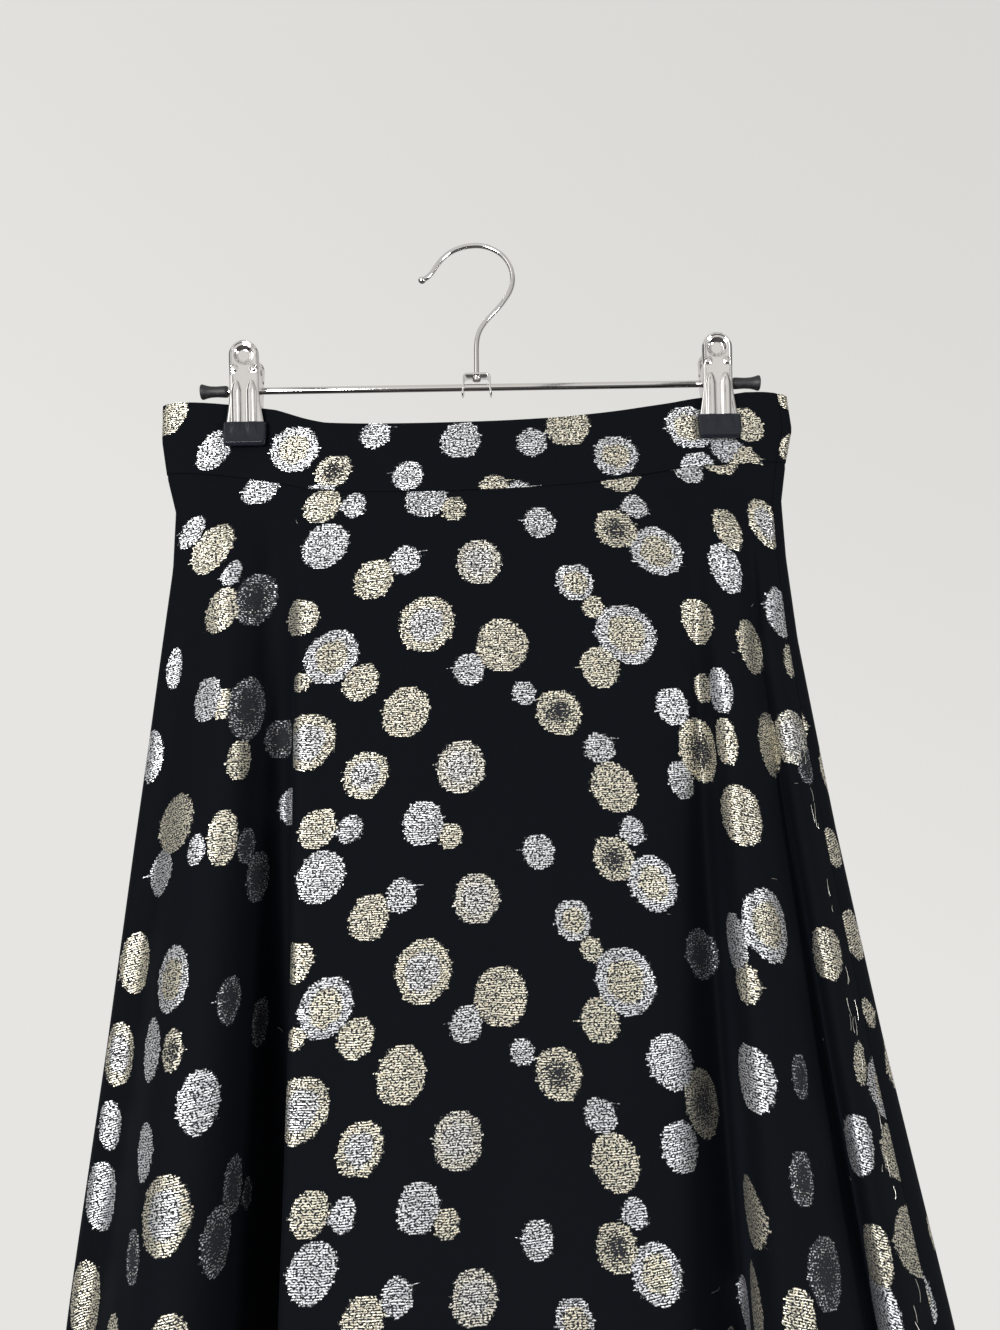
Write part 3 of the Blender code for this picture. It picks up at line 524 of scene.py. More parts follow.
@dataclass
class HangingRing:
    """The closed section of the hanging cloth at any drop below the waist seam."""

    band_top_z: float = -0.0985
    band_height: float = 0.040
    shown: float = 0.415
    band_depth: float = 0.0078
    pinched_share: float = 0.66
    pinch_reach: float = 0.030
    clips_x: tuple[float, float] = CLIPS_X
    front_lean: float = 0.1228
    back_depth: float = 0.026
    back_fills_in: float = 0.075
    flat_power: float = 8.0
    round_power: float = 2.6
    rounds_in: float = 0.16
    hem_fold_growth: float = 0.5
    rows: tuple[Row, ...] = FRONT_ROWS + BACK_ROWS

    def __post_init__(self) -> None:
        """Turns the rows into columns."""
        self.waist = np.array([row.waist for row in self.rows])
        self.low = np.array([row.low for row in self.rows])
        self.proud = np.array([row.proud for row in self.rows])
        self.sag = np.array([row.sag for row in self.rows])
        self.start = np.array([row.start for row in self.rows])
        self.face = np.array([-1.0] * len(FRONT_ROWS) + [1.0] * len(BACK_ROWS))
        self.count = len(self.rows)

    def index(self, name: str) -> int:
        """The number of a named row."""
        return next(i for i, row in enumerate(self.rows) if row.name == name)

    def control(self, drop: float) -> np.ndarray:
        """The section's control points at one drop.

        Args:
            drop: how far below the waist seam, in metres.

        Returns:
            One point for each row.
        """
        share = self.waist + (self.low - self.waist) * min(max(drop / self.shown, 0.0), 1.0)
        drops = [row.drop for row in OUTLINE]
        left = np.interp(drop, drops, [row.left for row in OUTLINE])
        right = np.interp(drop, drops, [row.right for row in OUTLINE])
        across = share * np.where(share < 0, left, right)
        power = self.flat_power + (self.round_power - self.flat_power) * ease(drop / self.rounds_in)
        depth = np.full(self.count, self.band_depth)
        if drop > 0.0:
            back = self.band_depth + self.back_depth * (1.0 - math.exp(-drop / self.back_fills_in))
            depth = np.where(self.face > 0, back, self.band_depth + self.front_lean * drop)
        fade = 1.0 - ease(drop / 0.05)
        near = np.max(
            [np.exp(-(((across - x) / self.pinch_reach) ** 2)) for x in self.clips_x], axis=0
        )
        out = depth * np.sqrt(np.maximum(0.0, 1.0 - np.abs(share) ** power))
        out *= 1.0 - self.pinched_share * near * fade
        growth = np.maximum(0.0, (drop - self.start) / (self.shown - self.start))
        if drop > self.shown:
            growth = np.full(
                self.count, 1.0 + self.hem_fold_growth * (drop - self.shown) / self.shown
            )
        out += self.proud * growth
        height = self.band_top_z - self.band_height - drop - self.sag
        return np.stack([across, self.face * out, height], axis=1)

    def section(self, drop: float, places: np.ndarray) -> tuple[np.ndarray, np.ndarray]:
        """Points of the smooth closed curve through the rows.

        Args:
            drop: how far below the waist seam, in metres.
            places: places along the ring, counted in rows.

        Returns:
            The points, and the level directions that point out of the skirt there.
        """
        ring = self.control(drop)
        start = np.floor(places).astype(int)
        t = (places - start)[:, None]
        a, b, c, d = (ring[(start + k) % self.count] for k in (-1, 0, 1, 2))
        points = a * (1 - t) ** 3 + b * (3 * t**3 - 6 * t**2 + 4)
        points += c * (-3 * t**3 + 3 * t**2 + 3 * t + 1) + d * t**3
        along = a * -((1 - t) ** 2) + b * (3 * t**2 - 4 * t)
        along += c * (-3 * t**2 + 2 * t + 1) + d * t**2
        outward = np.stack([along[:, 1], -along[:, 0], np.zeros(len(places))], axis=1)
        outward /= np.linalg.norm(outward, axis=1)[:, None]
        return points / 6.0, outward


class Wiring:
    """A node tree that is wired up one named step at a time."""

    def __init__(self, tree: bpy.types.NodeTree) -> None:
        """Takes hold of a node tree."""
        self.nodes = tree.nodes
        self.links = tree.links

    def put(self, target: bpy.types.NodeSocket, value: object) -> None:
        """Links a socket or sets a plain value on an input."""
        if isinstance(value, bpy.types.NodeSocket):
            self.links.new(value, target)
        elif value is not None:
            target.default_value = value

    def math(
        self, operation: str, first: object, second: object = None, third: object = None
    ) -> bpy.types.NodeSocket:
        """A Math node's result."""
        node = self.nodes.new("ShaderNodeMath")
        node.operation = operation
        for socket, value in zip(node.inputs, (first, second, third)):
            self.put(socket, value)
        return node.outputs[0]

    def step(self, value: object, low: float, high: float) -> bpy.types.NodeSocket:
        """A smooth step of a value, from 0 at low to 1 at high."""
        node = self.nodes.new("ShaderNodeMapRange")
        node.interpolation_type = "SMOOTHSTEP"
        for name, number in (("Value", value), ("From Min", low), ("From Max", high)):
            self.put(node.inputs[name], number)
        return node.outputs["Result"]

    def hump(self, value: object, middle: float, half: float) -> bpy.types.NodeSocket:
        """A soft hump of a value: 1 near the middle, 0 from half away."""
        away = self.math("ABSOLUTE", self.math("SUBTRACT", value, middle))
        return self.math("SUBTRACT", 1.0, self.step(away, half * 0.6, half))

    def combine(self, *values: object) -> bpy.types.NodeSocket:
        """A vector from up to three numbers."""
        node = self.nodes.new("ShaderNodeCombineXYZ")
        for socket, value in zip(node.inputs, values):
            self.put(socket, value)
        return node.outputs[0]

    def split(self, vector: object) -> tuple[bpy.types.NodeSocket, ...]:
        """The three numbers of a vector."""
        node = self.nodes.new("ShaderNodeSeparateXYZ")
        self.put(node.inputs[0], vector)
        return tuple(node.outputs)

    def blend(self, share: object, first: object, second: object) -> bpy.types.NodeSocket:
        """A mix of two colours."""
        node = self.nodes.new("ShaderNodeMix")
        node.data_type = "RGBA"
        self.put(node.inputs["Factor"], share)
        self.put(node.inputs[6], first)
        self.put(node.inputs[7], second)
        return node.outputs[2]

    def lerp(self, share: object, first: object, second: object) -> bpy.types.NodeSocket:
        """A mix of two numbers."""
        node = self.nodes.new("ShaderNodeMix")
        self.put(node.inputs[0], share)
        self.put(node.inputs[2], first)
        self.put(node.inputs[3], second)
        return node.outputs[0]

    def noise(
        self, place: object, scale: float, detail: float = 2.0, rough: float = 0.5
    ) -> bpy.types.NodeSocket:
        """Smooth noise at a place."""
        node = self.nodes.new("ShaderNodeTexNoise")
        self.put(node.inputs["Vector"], place)
        node.inputs["Scale"].default_value = scale
        node.inputs["Detail"].default_value = detail
        node.inputs["Roughness"].default_value = rough
        return node.outputs["Fac"]

    def dice(self, place: object) -> bpy.types.NodeSocket:
        """An even random number for each place."""
        node = self.nodes.new("ShaderNodeTexWhiteNoise")
        self.put(node.inputs["Vector"], place)
        return node.outputs["Value"]

    def stretch(self, place: object, scale: Sequence[float]) -> bpy.types.NodeSocket:
        """A place scaled along each axis."""
        node = self.nodes.new("ShaderNodeMapping")
        self.put(node.inputs["Vector"], place)
        node.inputs["Scale"].default_value = scale
        return node.outputs[0]


class Shader(Wiring):
    """A Principled material."""

    def __init__(
        self, name: str, colour: Sequence[float], roughness: float, metallic: float = 0.0
    ) -> None:
        """Starts a material.

        Args:
            name: the material's name.
            colour: its plain base colour.
            roughness: its plain roughness.
            metallic: its plain metallic value.
        """
        self.material = bpy.data.materials.new(name)
        self.material.use_nodes = True
        super().__init__(self.material.node_tree)
        self.surface = self.nodes["Principled BSDF"]
        self.surface.inputs["Base Color"].default_value = (*colour, 1.0)
        self.surface.inputs["Roughness"].default_value = roughness
        self.surface.inputs["Metallic"].default_value = metallic

    def set(self, name: str, value: object) -> "Shader":
        """Sets or links one input of the surface."""
        self.put(self.surface.inputs[name], value)
        return self

    def uv(self, name: str) -> bpy.types.NodeSocket:
        """A named UV map of the piece."""
        node = self.nodes.new("ShaderNodeUVMap")
        node.uv_map = name
        return node.outputs[0]

    def attribute(self, name: str) -> bpy.types.Node:
        """A named attribute of the piece."""
        node = self.nodes.new("ShaderNodeAttribute")
        node.attribute_name = name
        return node

    def place(self) -> bpy.types.NodeSocket:
        """The place on the object, in metres."""
        return self.nodes.new("ShaderNodeTexCoord").outputs["Object"]

    def bump(self, height: object, distance: float, strength: float) -> "Shader":
        """Gives the surface small relief from a height."""
        node = self.nodes.new("ShaderNodeBump")
        self.put(node.inputs["Height"], height)
        node.inputs["Distance"].default_value = distance
        node.inputs["Strength"].default_value = strength
        self.links.new(node.outputs[0], self.surface.inputs["Normal"])
        return self


@dataclass(frozen=True)
class SpottedCrepe:
    """Blue-black crepe with spots of silver and gold metallic thread woven across it."""

    ground: tuple[float, float, float] = (0.0017, 0.0024, 0.0038)
    silver: tuple[float, float, float] = (0.92, 0.93, 0.96)
    gold: tuple[float, float, float] = (0.96, 0.91, 0.74)
    copper: tuple[float, float, float] = (0.62, 0.46, 0.28)
    # unlit: the colour that the darker painted streaks and the painted shade draw the metal threads towards.
    unlit: tuple[float, float, float] = (0.05, 0.052, 0.06)
    between: tuple[float, float, float] = (0.016, 0.017, 0.020)
    rows_per_cm: float = 9.5
    loose_luck: float = 0.993
    rim_starts: tuple[float, float] = (0.58, 0.66)
    bends_per_metre: float = 62.0
    bend_cm: float = 0.14

    def spot(self, shader: Shader, label: str, bend: bpy.types.NodeSocket) -> tuple:
        """Wires up one near spot, whose maps give the place from its middle in centimetres.

        Args:
            shader: the material.
            label: which of the near spots it is.
            bend: a slow wander of the cloth, which keeps the spot from being a true circle.

        Returns:
            How far the spot covers the ground, how gold it is there, how much painted shade darkens it, and
            its threads' profile.
        """
        wander = shader.nodes.new("ShaderNodeVectorMath")
        wander.operation = "ADD"
        shader.put(wander.inputs[0], shader.uv(f"spot_{label}"))
        shader.put(wander.inputs[1], bend)
        across, down, _ = shader.split(wander.outputs[0])
        holder = shader.attribute(f"look_{label}")
        heart, rim, dark = shader.split(holder.outputs["Color"])
        radius = holder.outputs["Alpha"]
        count = shader.math("MULTIPLY", down, self.rows_per_cm)
        row = shader.math("FLOOR", count)
        profile = shader.math("SINE", shader.math("MULTIPLY", shader.math("FRACT", count), math.pi))
        level = shader.math("DIVIDE", shader.math("ADD", row, 0.5), self.rows_per_cm)
        room = shader.math(
            "SUBTRACT",
            shader.math("MULTIPLY", radius, radius),
            shader.math("MULTIPLY", level, level),
        )
        chord = shader.math("SQRT", shader.math("MAXIMUM", room, 0.0))
        luck = shader.dice(shader.combine(row, shader.math("SIGN", across), radius))
        reach = shader.math("MULTIPLY_ADD", luck, 0.15, -0.09)
        reach = shader.math("MULTIPLY_ADD", shader.math("POWER", luck, 8.0), 0.10, reach)
        inside = shader.math("SUBTRACT", chord, shader.math("ABSOLUTE", across))
        edge = shader.math("ADD", inside, reach)
        cover = shader.math("MULTIPLY", shader.step(edge, -0.004, 0.012), shader.step(room, 0.0, 0.01))
        lucky = shader.math("GREATER_THAN", luck, self.loose_luck)
        loose = shader.math("MULTIPLY", lucky, shader.step(profile, 0.80, 0.95))
        tail = shader.math("MULTIPLY_ADD", shader.dice(shader.combine(radius, row, 0.0)), 0.5, 0.08)
        loose = shader.math("MULTIPLY", loose, shader.step(shader.math("ADD", inside, tail), 0.0, 0.02))
        loose = shader.math("MULTIPLY", loose, shader.math("GREATER_THAN", chord, 0.3))
        cover = shader.math("MAXIMUM", cover, loose)
        length = shader.nodes.new("ShaderNodeVectorMath")
        length.operation = "LENGTH"
        shader.put(length.inputs[0], shader.combine(across, down, 0.0))
        share = shader.math("DIVIDE", length.outputs["Value"], radius)
        ragged = shader.math("MULTIPLY_ADD", luck, 0.12, -0.06)
        ring = shader.step(shader.math("ADD", share, ragged), *self.rim_starts)
        gold = shader.lerp(ring, heart, rim)
        # Painted shade: a shaded spot's heart, and for shaded silver spots the whole spot, is darkened,
        # standing in for threads turned from the light or lying in a shaded fold.
        painted_shade = shader.math("SUBTRACT", dark, shader.math("MULTIPLY", shader.step(share, 0.15, 0.8), 0.62))
        painted_shade = shader.math("MAXIMUM", painted_shade, 0.0)
        return cover, gold, painted_shade, profile

    def dress(self) -> bpy.types.Material:
        """Builds the cloth's material."""
        shader = Shader("spotted_crepe", self.ground, 0.82)
        cloth = shader.uv("cloth")
        slow = shader.nodes.new("ShaderNodeTexNoise")
        shader.put(slow.inputs["Vector"], cloth)
        slow.inputs["Scale"].default_value = self.bends_per_metre
        slow.inputs["Detail"].default_value = 1.0
        bend = shader.nodes.new("ShaderNodeVectorMath")
        bend.operation = "MULTIPLY_ADD"
        shader.put(bend.inputs[0], slow.outputs["Color"])
        bend.inputs[1].default_value = (2 * self.bend_cm, 2 * self.bend_cm, 0.0)
        bend.inputs[2].default_value = (-self.bend_cm, -self.bend_cm, 0.0)
        first, first_gold, first_painted_shade, first_rows = self.spot(shader, "one", bend.outputs[0])
        second, second_gold, second_painted_shade, second_rows = self.spot(shader, "two", bend.outputs[0])
        cover = shader.math("MAXIMUM", first, second)
        gold = shader.lerp(first, second_gold, first_gold)
        painted_shade = shader.lerp(first, second_painted_shade, first_painted_shade)
        rows = shader.lerp(first, second_rows, first_rows)
        crumbs = shader.noise(shader.stretch(cloth, (820.0, 1200.0, 1.0)), 1.0, 1.0, 0.5)
        flecks = shader.noise(shader.stretch(cloth, (330.0, 520.0, 1.0)), 1.0, 2.0, 0.6)
        threads = shader.noise(shader.stretch(cloth, (90.0, 1500.0, 1.0)), 1.0, 1.0, 0.4)
        weave = shader.math("MULTIPLY_ADD", shader.math("SUBTRACT", crumbs, 0.5), 7.0, 0.16)
        weave = shader.math("MULTIPLY_ADD", shader.math("SUBTRACT", rows, 0.55), 0.85, weave)
        weave = shader.math("MULTIPLY_ADD", shader.math("SUBTRACT", flecks, 0.5), 1.6, weave)
        # Painted shade also thins the metal threads of shaded spots.
        weave = shader.math("SUBTRACT", weave, shader.math("MULTIPLY", painted_shade, 1.45))
        metal = shader.math("MULTIPLY", shader.step(weave, 0.04, 0.34), cover)
        # Painted glints and painted shade: streaks of the metal's colour are drawn brighter or down towards
        # the unlit colour, standing in for threads that catch or miss the light, and shaded spots are dimmed
        # further.
        painted_glint_and_shade = shader.math("MULTIPLY_ADD", shader.math("SUBTRACT", threads, 0.5), 2.8, 0.98)
        after_painted_shade = shader.math("SUBTRACT", 1.0, shader.math("MULTIPLY", painted_shade, 0.5))
        painted_glint_and_shade = shader.math("MULTIPLY", painted_glint_and_shade, after_painted_shade)
        painted_glint_and_shade = shader.math("MINIMUM", shader.math("MAXIMUM", painted_glint_and_shade, 0.12), 1.0)
        tint = shader.blend(gold, (*self.silver, 1.0), (*self.gold, 1.0))
        tint = shader.blend(
            shader.math("MULTIPLY", shader.step(flecks, 0.55, 0.68), shader.math("MULTIPLY", gold, 0.5)),
            tint,
            (*self.copper, 1.0),
        )
        lit = shader.blend(painted_glint_and_shade, (*self.unlit, 1.0), tint)
        under = shader.blend(cover, (*self.ground, 1.0), (*self.between, 1.0))
        shader.set("Base Color", shader.blend(metal, under, lit))
        shader.set("Metallic", shader.math("MULTIPLY", metal, 0.88))
        shader.set("Roughness", shader.lerp(metal, 0.80, 0.36))
        shader.set("Sheen Weight", 0.010)
        shader.set("Sheen Roughness", 0.5)
        shader.set("Sheen Tint", (0.55, 0.70, 1.0, 1.0))
        shader.set("Specular IOR Level", 0.05)
        grain = shader.noise(shader.stretch(cloth, (1500.0, 2100.0, 1.0)), 1.0, 2.0, 0.6)
        height = shader.math("MULTIPLY_ADD", metal, 0.8, shader.math("MULTIPLY", grain, 0.5))
        height = shader.math("MULTIPLY_ADD", shader.math("MULTIPLY", rows, metal), 0.8, height)
        shader.bump(height, 0.00030, 0.8)
        return shader.material


@dataclass(frozen=True)
class Chrome:
    """Bright chrome plate with faint wipe marks."""

    name: str = "chrome_plate"
    colour: tuple[float, float, float] = (0.81, 0.795, 0.78)
    roughness: float = 0.07

    def dress(self) -> bpy.types.Material:
        """Builds the chrome's material."""
        shader = Shader(self.name, self.colour, self.roughness, 1.0)
        place = shader.place()
        marks = shader.noise(shader.stretch(place, (900.0, 900.0, 160.0)), 1.0, 3.0, 0.65)
        shader.set("Roughness", shader.math("MULTIPLY_ADD", marks, 0.10, self.roughness - 0.03))
        shader.bump(shader.noise(place, 420.0, 2.0), 0.00004, 0.25)
        return shader.material


@dataclass(frozen=True)
class SoftRubber:
    """Matte rubber or soft plastic with a little bloom."""

    name: str
    colour: tuple[float, float, float]
    roughness: float
    clear: float = 0.0

    def dress(self) -> bpy.types.Material:
        """Builds the rubber's material."""
        shader = Shader(self.name, self.colour, self.roughness)
        place = shader.place()
        cloud = shader.noise(place, 380.0, 3.0, 0.6)
        shader.set("Roughness", shader.math("MULTIPLY_ADD", cloud, 0.22, self.roughness - 0.10))
        if self.clear == 0.0:
            pale = tuple(min(1.0, part * 2.2 + 0.008) for part in self.colour)
            bloom = shader.step(cloud, 0.5, 0.8)
            shader.set("Base Color", shader.blend(bloom, (*self.colour, 1.0), (*pale, 1.0)))
        else:
            shader.set("Transmission Weight", self.clear)
            shader.set("IOR", 1.46)
            shader.set("Specular IOR Level", 0.35)
        shader.bump(shader.noise(place, 1500.0, 2.0), 0.00005, 0.35)
        return shader.material


@dataclass(frozen=True)
class WovenTape:
    """Black tape with fine ribs along it."""

    name: str = "zip_tape_weave"
    colour: tuple[float, float, float] = (0.012, 0.012, 0.014)

    def dress(self) -> bpy.types.Material:
        """Builds the tape's material."""
        shader = Shader(self.name, self.colour, 0.85)
        place = shader.place()
        ribs = shader.noise(shader.stretch(place, (2600.0, 1.0, 500.0)), 1.0, 1.0, 0.4)
        shader.set("Base Color", shader.blend(ribs, (*self.colour, 1.0), (0.034, 0.034, 0.038, 1.0)))
        shader.bump(ribs, 0.0001, 0.6)
        return shader.material


@dataclass(frozen=True)
class Thread:
    """Spun or metallic thread."""

    name: str
    colour: tuple[float, float, float]
    roughness: float
    metallic: float = 0.0

    def dress(self) -> bpy.types.Material:
        """Builds the thread's material."""
        shader = Shader(self.name, self.colour, self.roughness, self.metallic)
        twist = shader.noise(shader.place(), 3200.0, 1.0)
        dim = tuple(part * 0.55 for part in self.colour)
        shader.set("Base Color", shader.blend(twist, (*dim, 1.0), (*self.colour, 1.0)))
        return shader.material


class Finishes:
    """Every finish of the object, made once."""

    def __init__(self) -> None:
        """Builds the materials."""
        self.cloth = SpottedCrepe().dress()
        self.chrome = Chrome().dress()
        self.cap = SoftRubber("cap_rubber", (0.010, 0.010, 0.012), 0.50).dress()
        self.grip = SoftRubber("smoked_grip", (0.010, 0.011, 0.016), 0.18, 0.08).dress()
        self.enamel = SoftRubber("zip_enamel", (0.010, 0.011, 0.014), 0.34).dress()
        self.tape = WovenTape().dress()
        self.lurex = Thread("stray_lurex", (0.70, 0.68, 0.62), 0.35, 0.8).dress()


def hand_over(
    piece: bpy.types.Object, finish: bpy.types.Material, body: str, nodes: Sequence[str]
) -> bpy.types.Object:
    """Gives a finished piece its material, its body and the solids that it stands for.

    Args:
        piece: the piece.
        finish: its material.
        body: the body that it rides on.
        nodes: the solids that it replaces.

    Returns:
        The piece.
    """
    piece.data.materials.clear()
    piece.data.materials.append(finish)
    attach(piece, body)
    if nodes:
        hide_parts(*nodes)
    LOG.info("%s: %d faces", piece.name, len(piece.data.polygons))
    return piece


class Bench:
    """Modelling by hand: primitives, edit-mode steps and applied modifiers."""

    @staticmethod
    def clear() -> None:
        """Leaves nothing selected."""
        if bpy.context.object and bpy.context.object.mode != "OBJECT":
            bpy.ops.object.mode_set(mode="OBJECT")
        bpy.ops.object.select_all(action="DESELECT")

    @staticmethod
    def start(name: str) -> bpy.types.Object:
        """Names the primitive that was just added."""
        piece = bpy.context.object
        piece.name = name
        piece.data.name = name
        return piece

    @staticmethod
    def focus(piece: bpy.types.Object) -> None:
        """Makes one piece the only selected and active one."""
        Bench.clear()
        piece.select_set(True)
        bpy.context.view_layer.objects.active = piece

    @staticmethod
    def add(name: str, data: bpy.types.ID) -> bpy.types.Object:
        """Puts new data into the scene as an object."""
        piece = bpy.data.objects.new(name, data)
        bpy.context.collection.objects.link(piece)
        return piece

    @staticmethod
    def open_all() -> None:
        """Enters edit mode on the active piece with all of it selected."""
        bpy.ops.object.mode_set(mode="EDIT")
        bpy.ops.mesh.select_all(action="SELECT")

    @staticmethod
    def settle(piece: bpy.types.Object) -> bpy.types.Object:
        """Applies the piece's place, turn and scale to its mesh."""
        Bench.focus(piece)
        bpy.ops.object.transform_apply(location=True, rotation=True, scale=True)
        return piece

    @staticmethod
    def modify(piece: bpy.types.Object, kind: str, **settings: object) -> None:
        """Adds a modifier with its settings and applies it."""
        Bench.focus(piece)
        step = piece.modifiers.new(kind.lower(), kind)
        for name, value in settings.items():
            setattr(step, name, value)
        bpy.ops.object.modifier_apply(modifier=step.name)

    @staticmethod
    def finish(piece: bpy.types.Object, angle: float = 40.0) -> bpy.types.Object:
        """Leaves edit mode, turns faces outwards and shades the piece."""
        Bench.focus(piece)
        Bench.open_all()
        bpy.ops.mesh.normals_make_consistent(inside=False)
        bpy.ops.object.mode_set(mode="OBJECT")
        Bench.settle(piece)
        bpy.ops.object.shade_smooth_by_angle(angle=math.radians(angle))
        return piece

    @staticmethod
    def join(pieces: Sequence[bpy.types.Object], name: str) -> bpy.types.Object:
        """Joins pieces into one mesh."""
        for piece in pieces:
            Bench.settle(piece)
        Bench.clear()
        for piece in pieces:
            piece.select_set(True)
        bpy.context.view_layer.objects.active = pieces[0]
        bpy.ops.object.join()
        return Bench.start(name)

    @staticmethod
    def wire(
        name: str,
        paths: Sequence[Sequence[Sequence[float]]],
        radius: float,
        sides: int = 4,
        kind: str = "POLY",
    ) -> bpy.types.Object:
        """Round wires through points, made a mesh.

        Args:
            name: the piece's name.
            paths: each wire's points, in metres.
            radius: their radius.
            sides: the curve's bevel resolution.
            kind: straight from point to point, or smoothed.

        Returns:
            The wires as a mesh object.
        """
        Bench.clear()
        curve = bpy.data.curves.new(name, "CURVE")
        curve.dimensions = "3D"
        curve.bevel_depth = radius
        curve.bevel_resolution = sides
        curve.use_fill_caps = True
        for points in paths:
            spline = curve.splines.new(kind)
            spline.points.add(len(points) - 1)
            spline.use_endpoint_u = True
            spline.resolution_u = 4
            for knot, point in zip(spline.points, points):
                knot.co = (*point, 1.0)
        Bench.focus(Bench.add(name, curve))
        bpy.ops.object.convert(target="MESH")
        piece = Bench.start(name)
        Bench.open_all()
        bpy.ops.mesh.remove_doubles(threshold=1e-6)
        bpy.ops.object.mode_set(mode="OBJECT")
        return Bench.finish(piece, 50.0)

    @staticmethod
    def turned(
        name: str, profile: Sequence[tuple[float, float]], centre: Sequence[float], sides: int = 40
    ) -> bpy.types.Object:
        """A piece turned about X, extruded ring by ring along its profile.

        Args:
            name: the piece's name.
            profile: rows of distance along X and radius.
            centre: the profile's zero point.
            sides: faces round it.

        Returns:
            The turned piece.
        """
        Bench.clear()
        first_along, first_radius = profile[0]
        bpy.ops.mesh.primitive_circle_add(
            vertices=sides,
            radius=first_radius,
            fill_type="NGON",
            location=(centre[0] + first_along, centre[1], centre[2]),
            rotation=(0.0, math.radians(90), 0.0),
        )
        piece = Bench.settle(Bench.start(name))
        Bench.open_all()
        for (along, radius), (next_along, next_radius) in zip(profile, profile[1:]):
            bpy.ops.mesh.extrude_region_move(
                TRANSFORM_OT_translate={"value": (next_along - along, 0.0, 0.0)}
            )
            share = next_radius / radius
            bpy.ops.transform.resize(value=(1.0, share, share), center_override=(
                centre[0] + next_along, centre[1], centre[2]
            ))
        bpy.ops.object.mode_set(mode="OBJECT")
        return Bench.finish(piece, 35.0)


# Where the pulled cloth leans and widens its spots: places and distances across the flat cloth.
SPOTS_UPRIGHT_AT = 0.02
SPOTS_LEAN = 2.8
SPOTS_LEAN_LIMITS = (-0.30, 0.38)
SIDES_FROM = 0.11
SIDES_EASE = 0.06
SIDES_STRETCH = 0.34


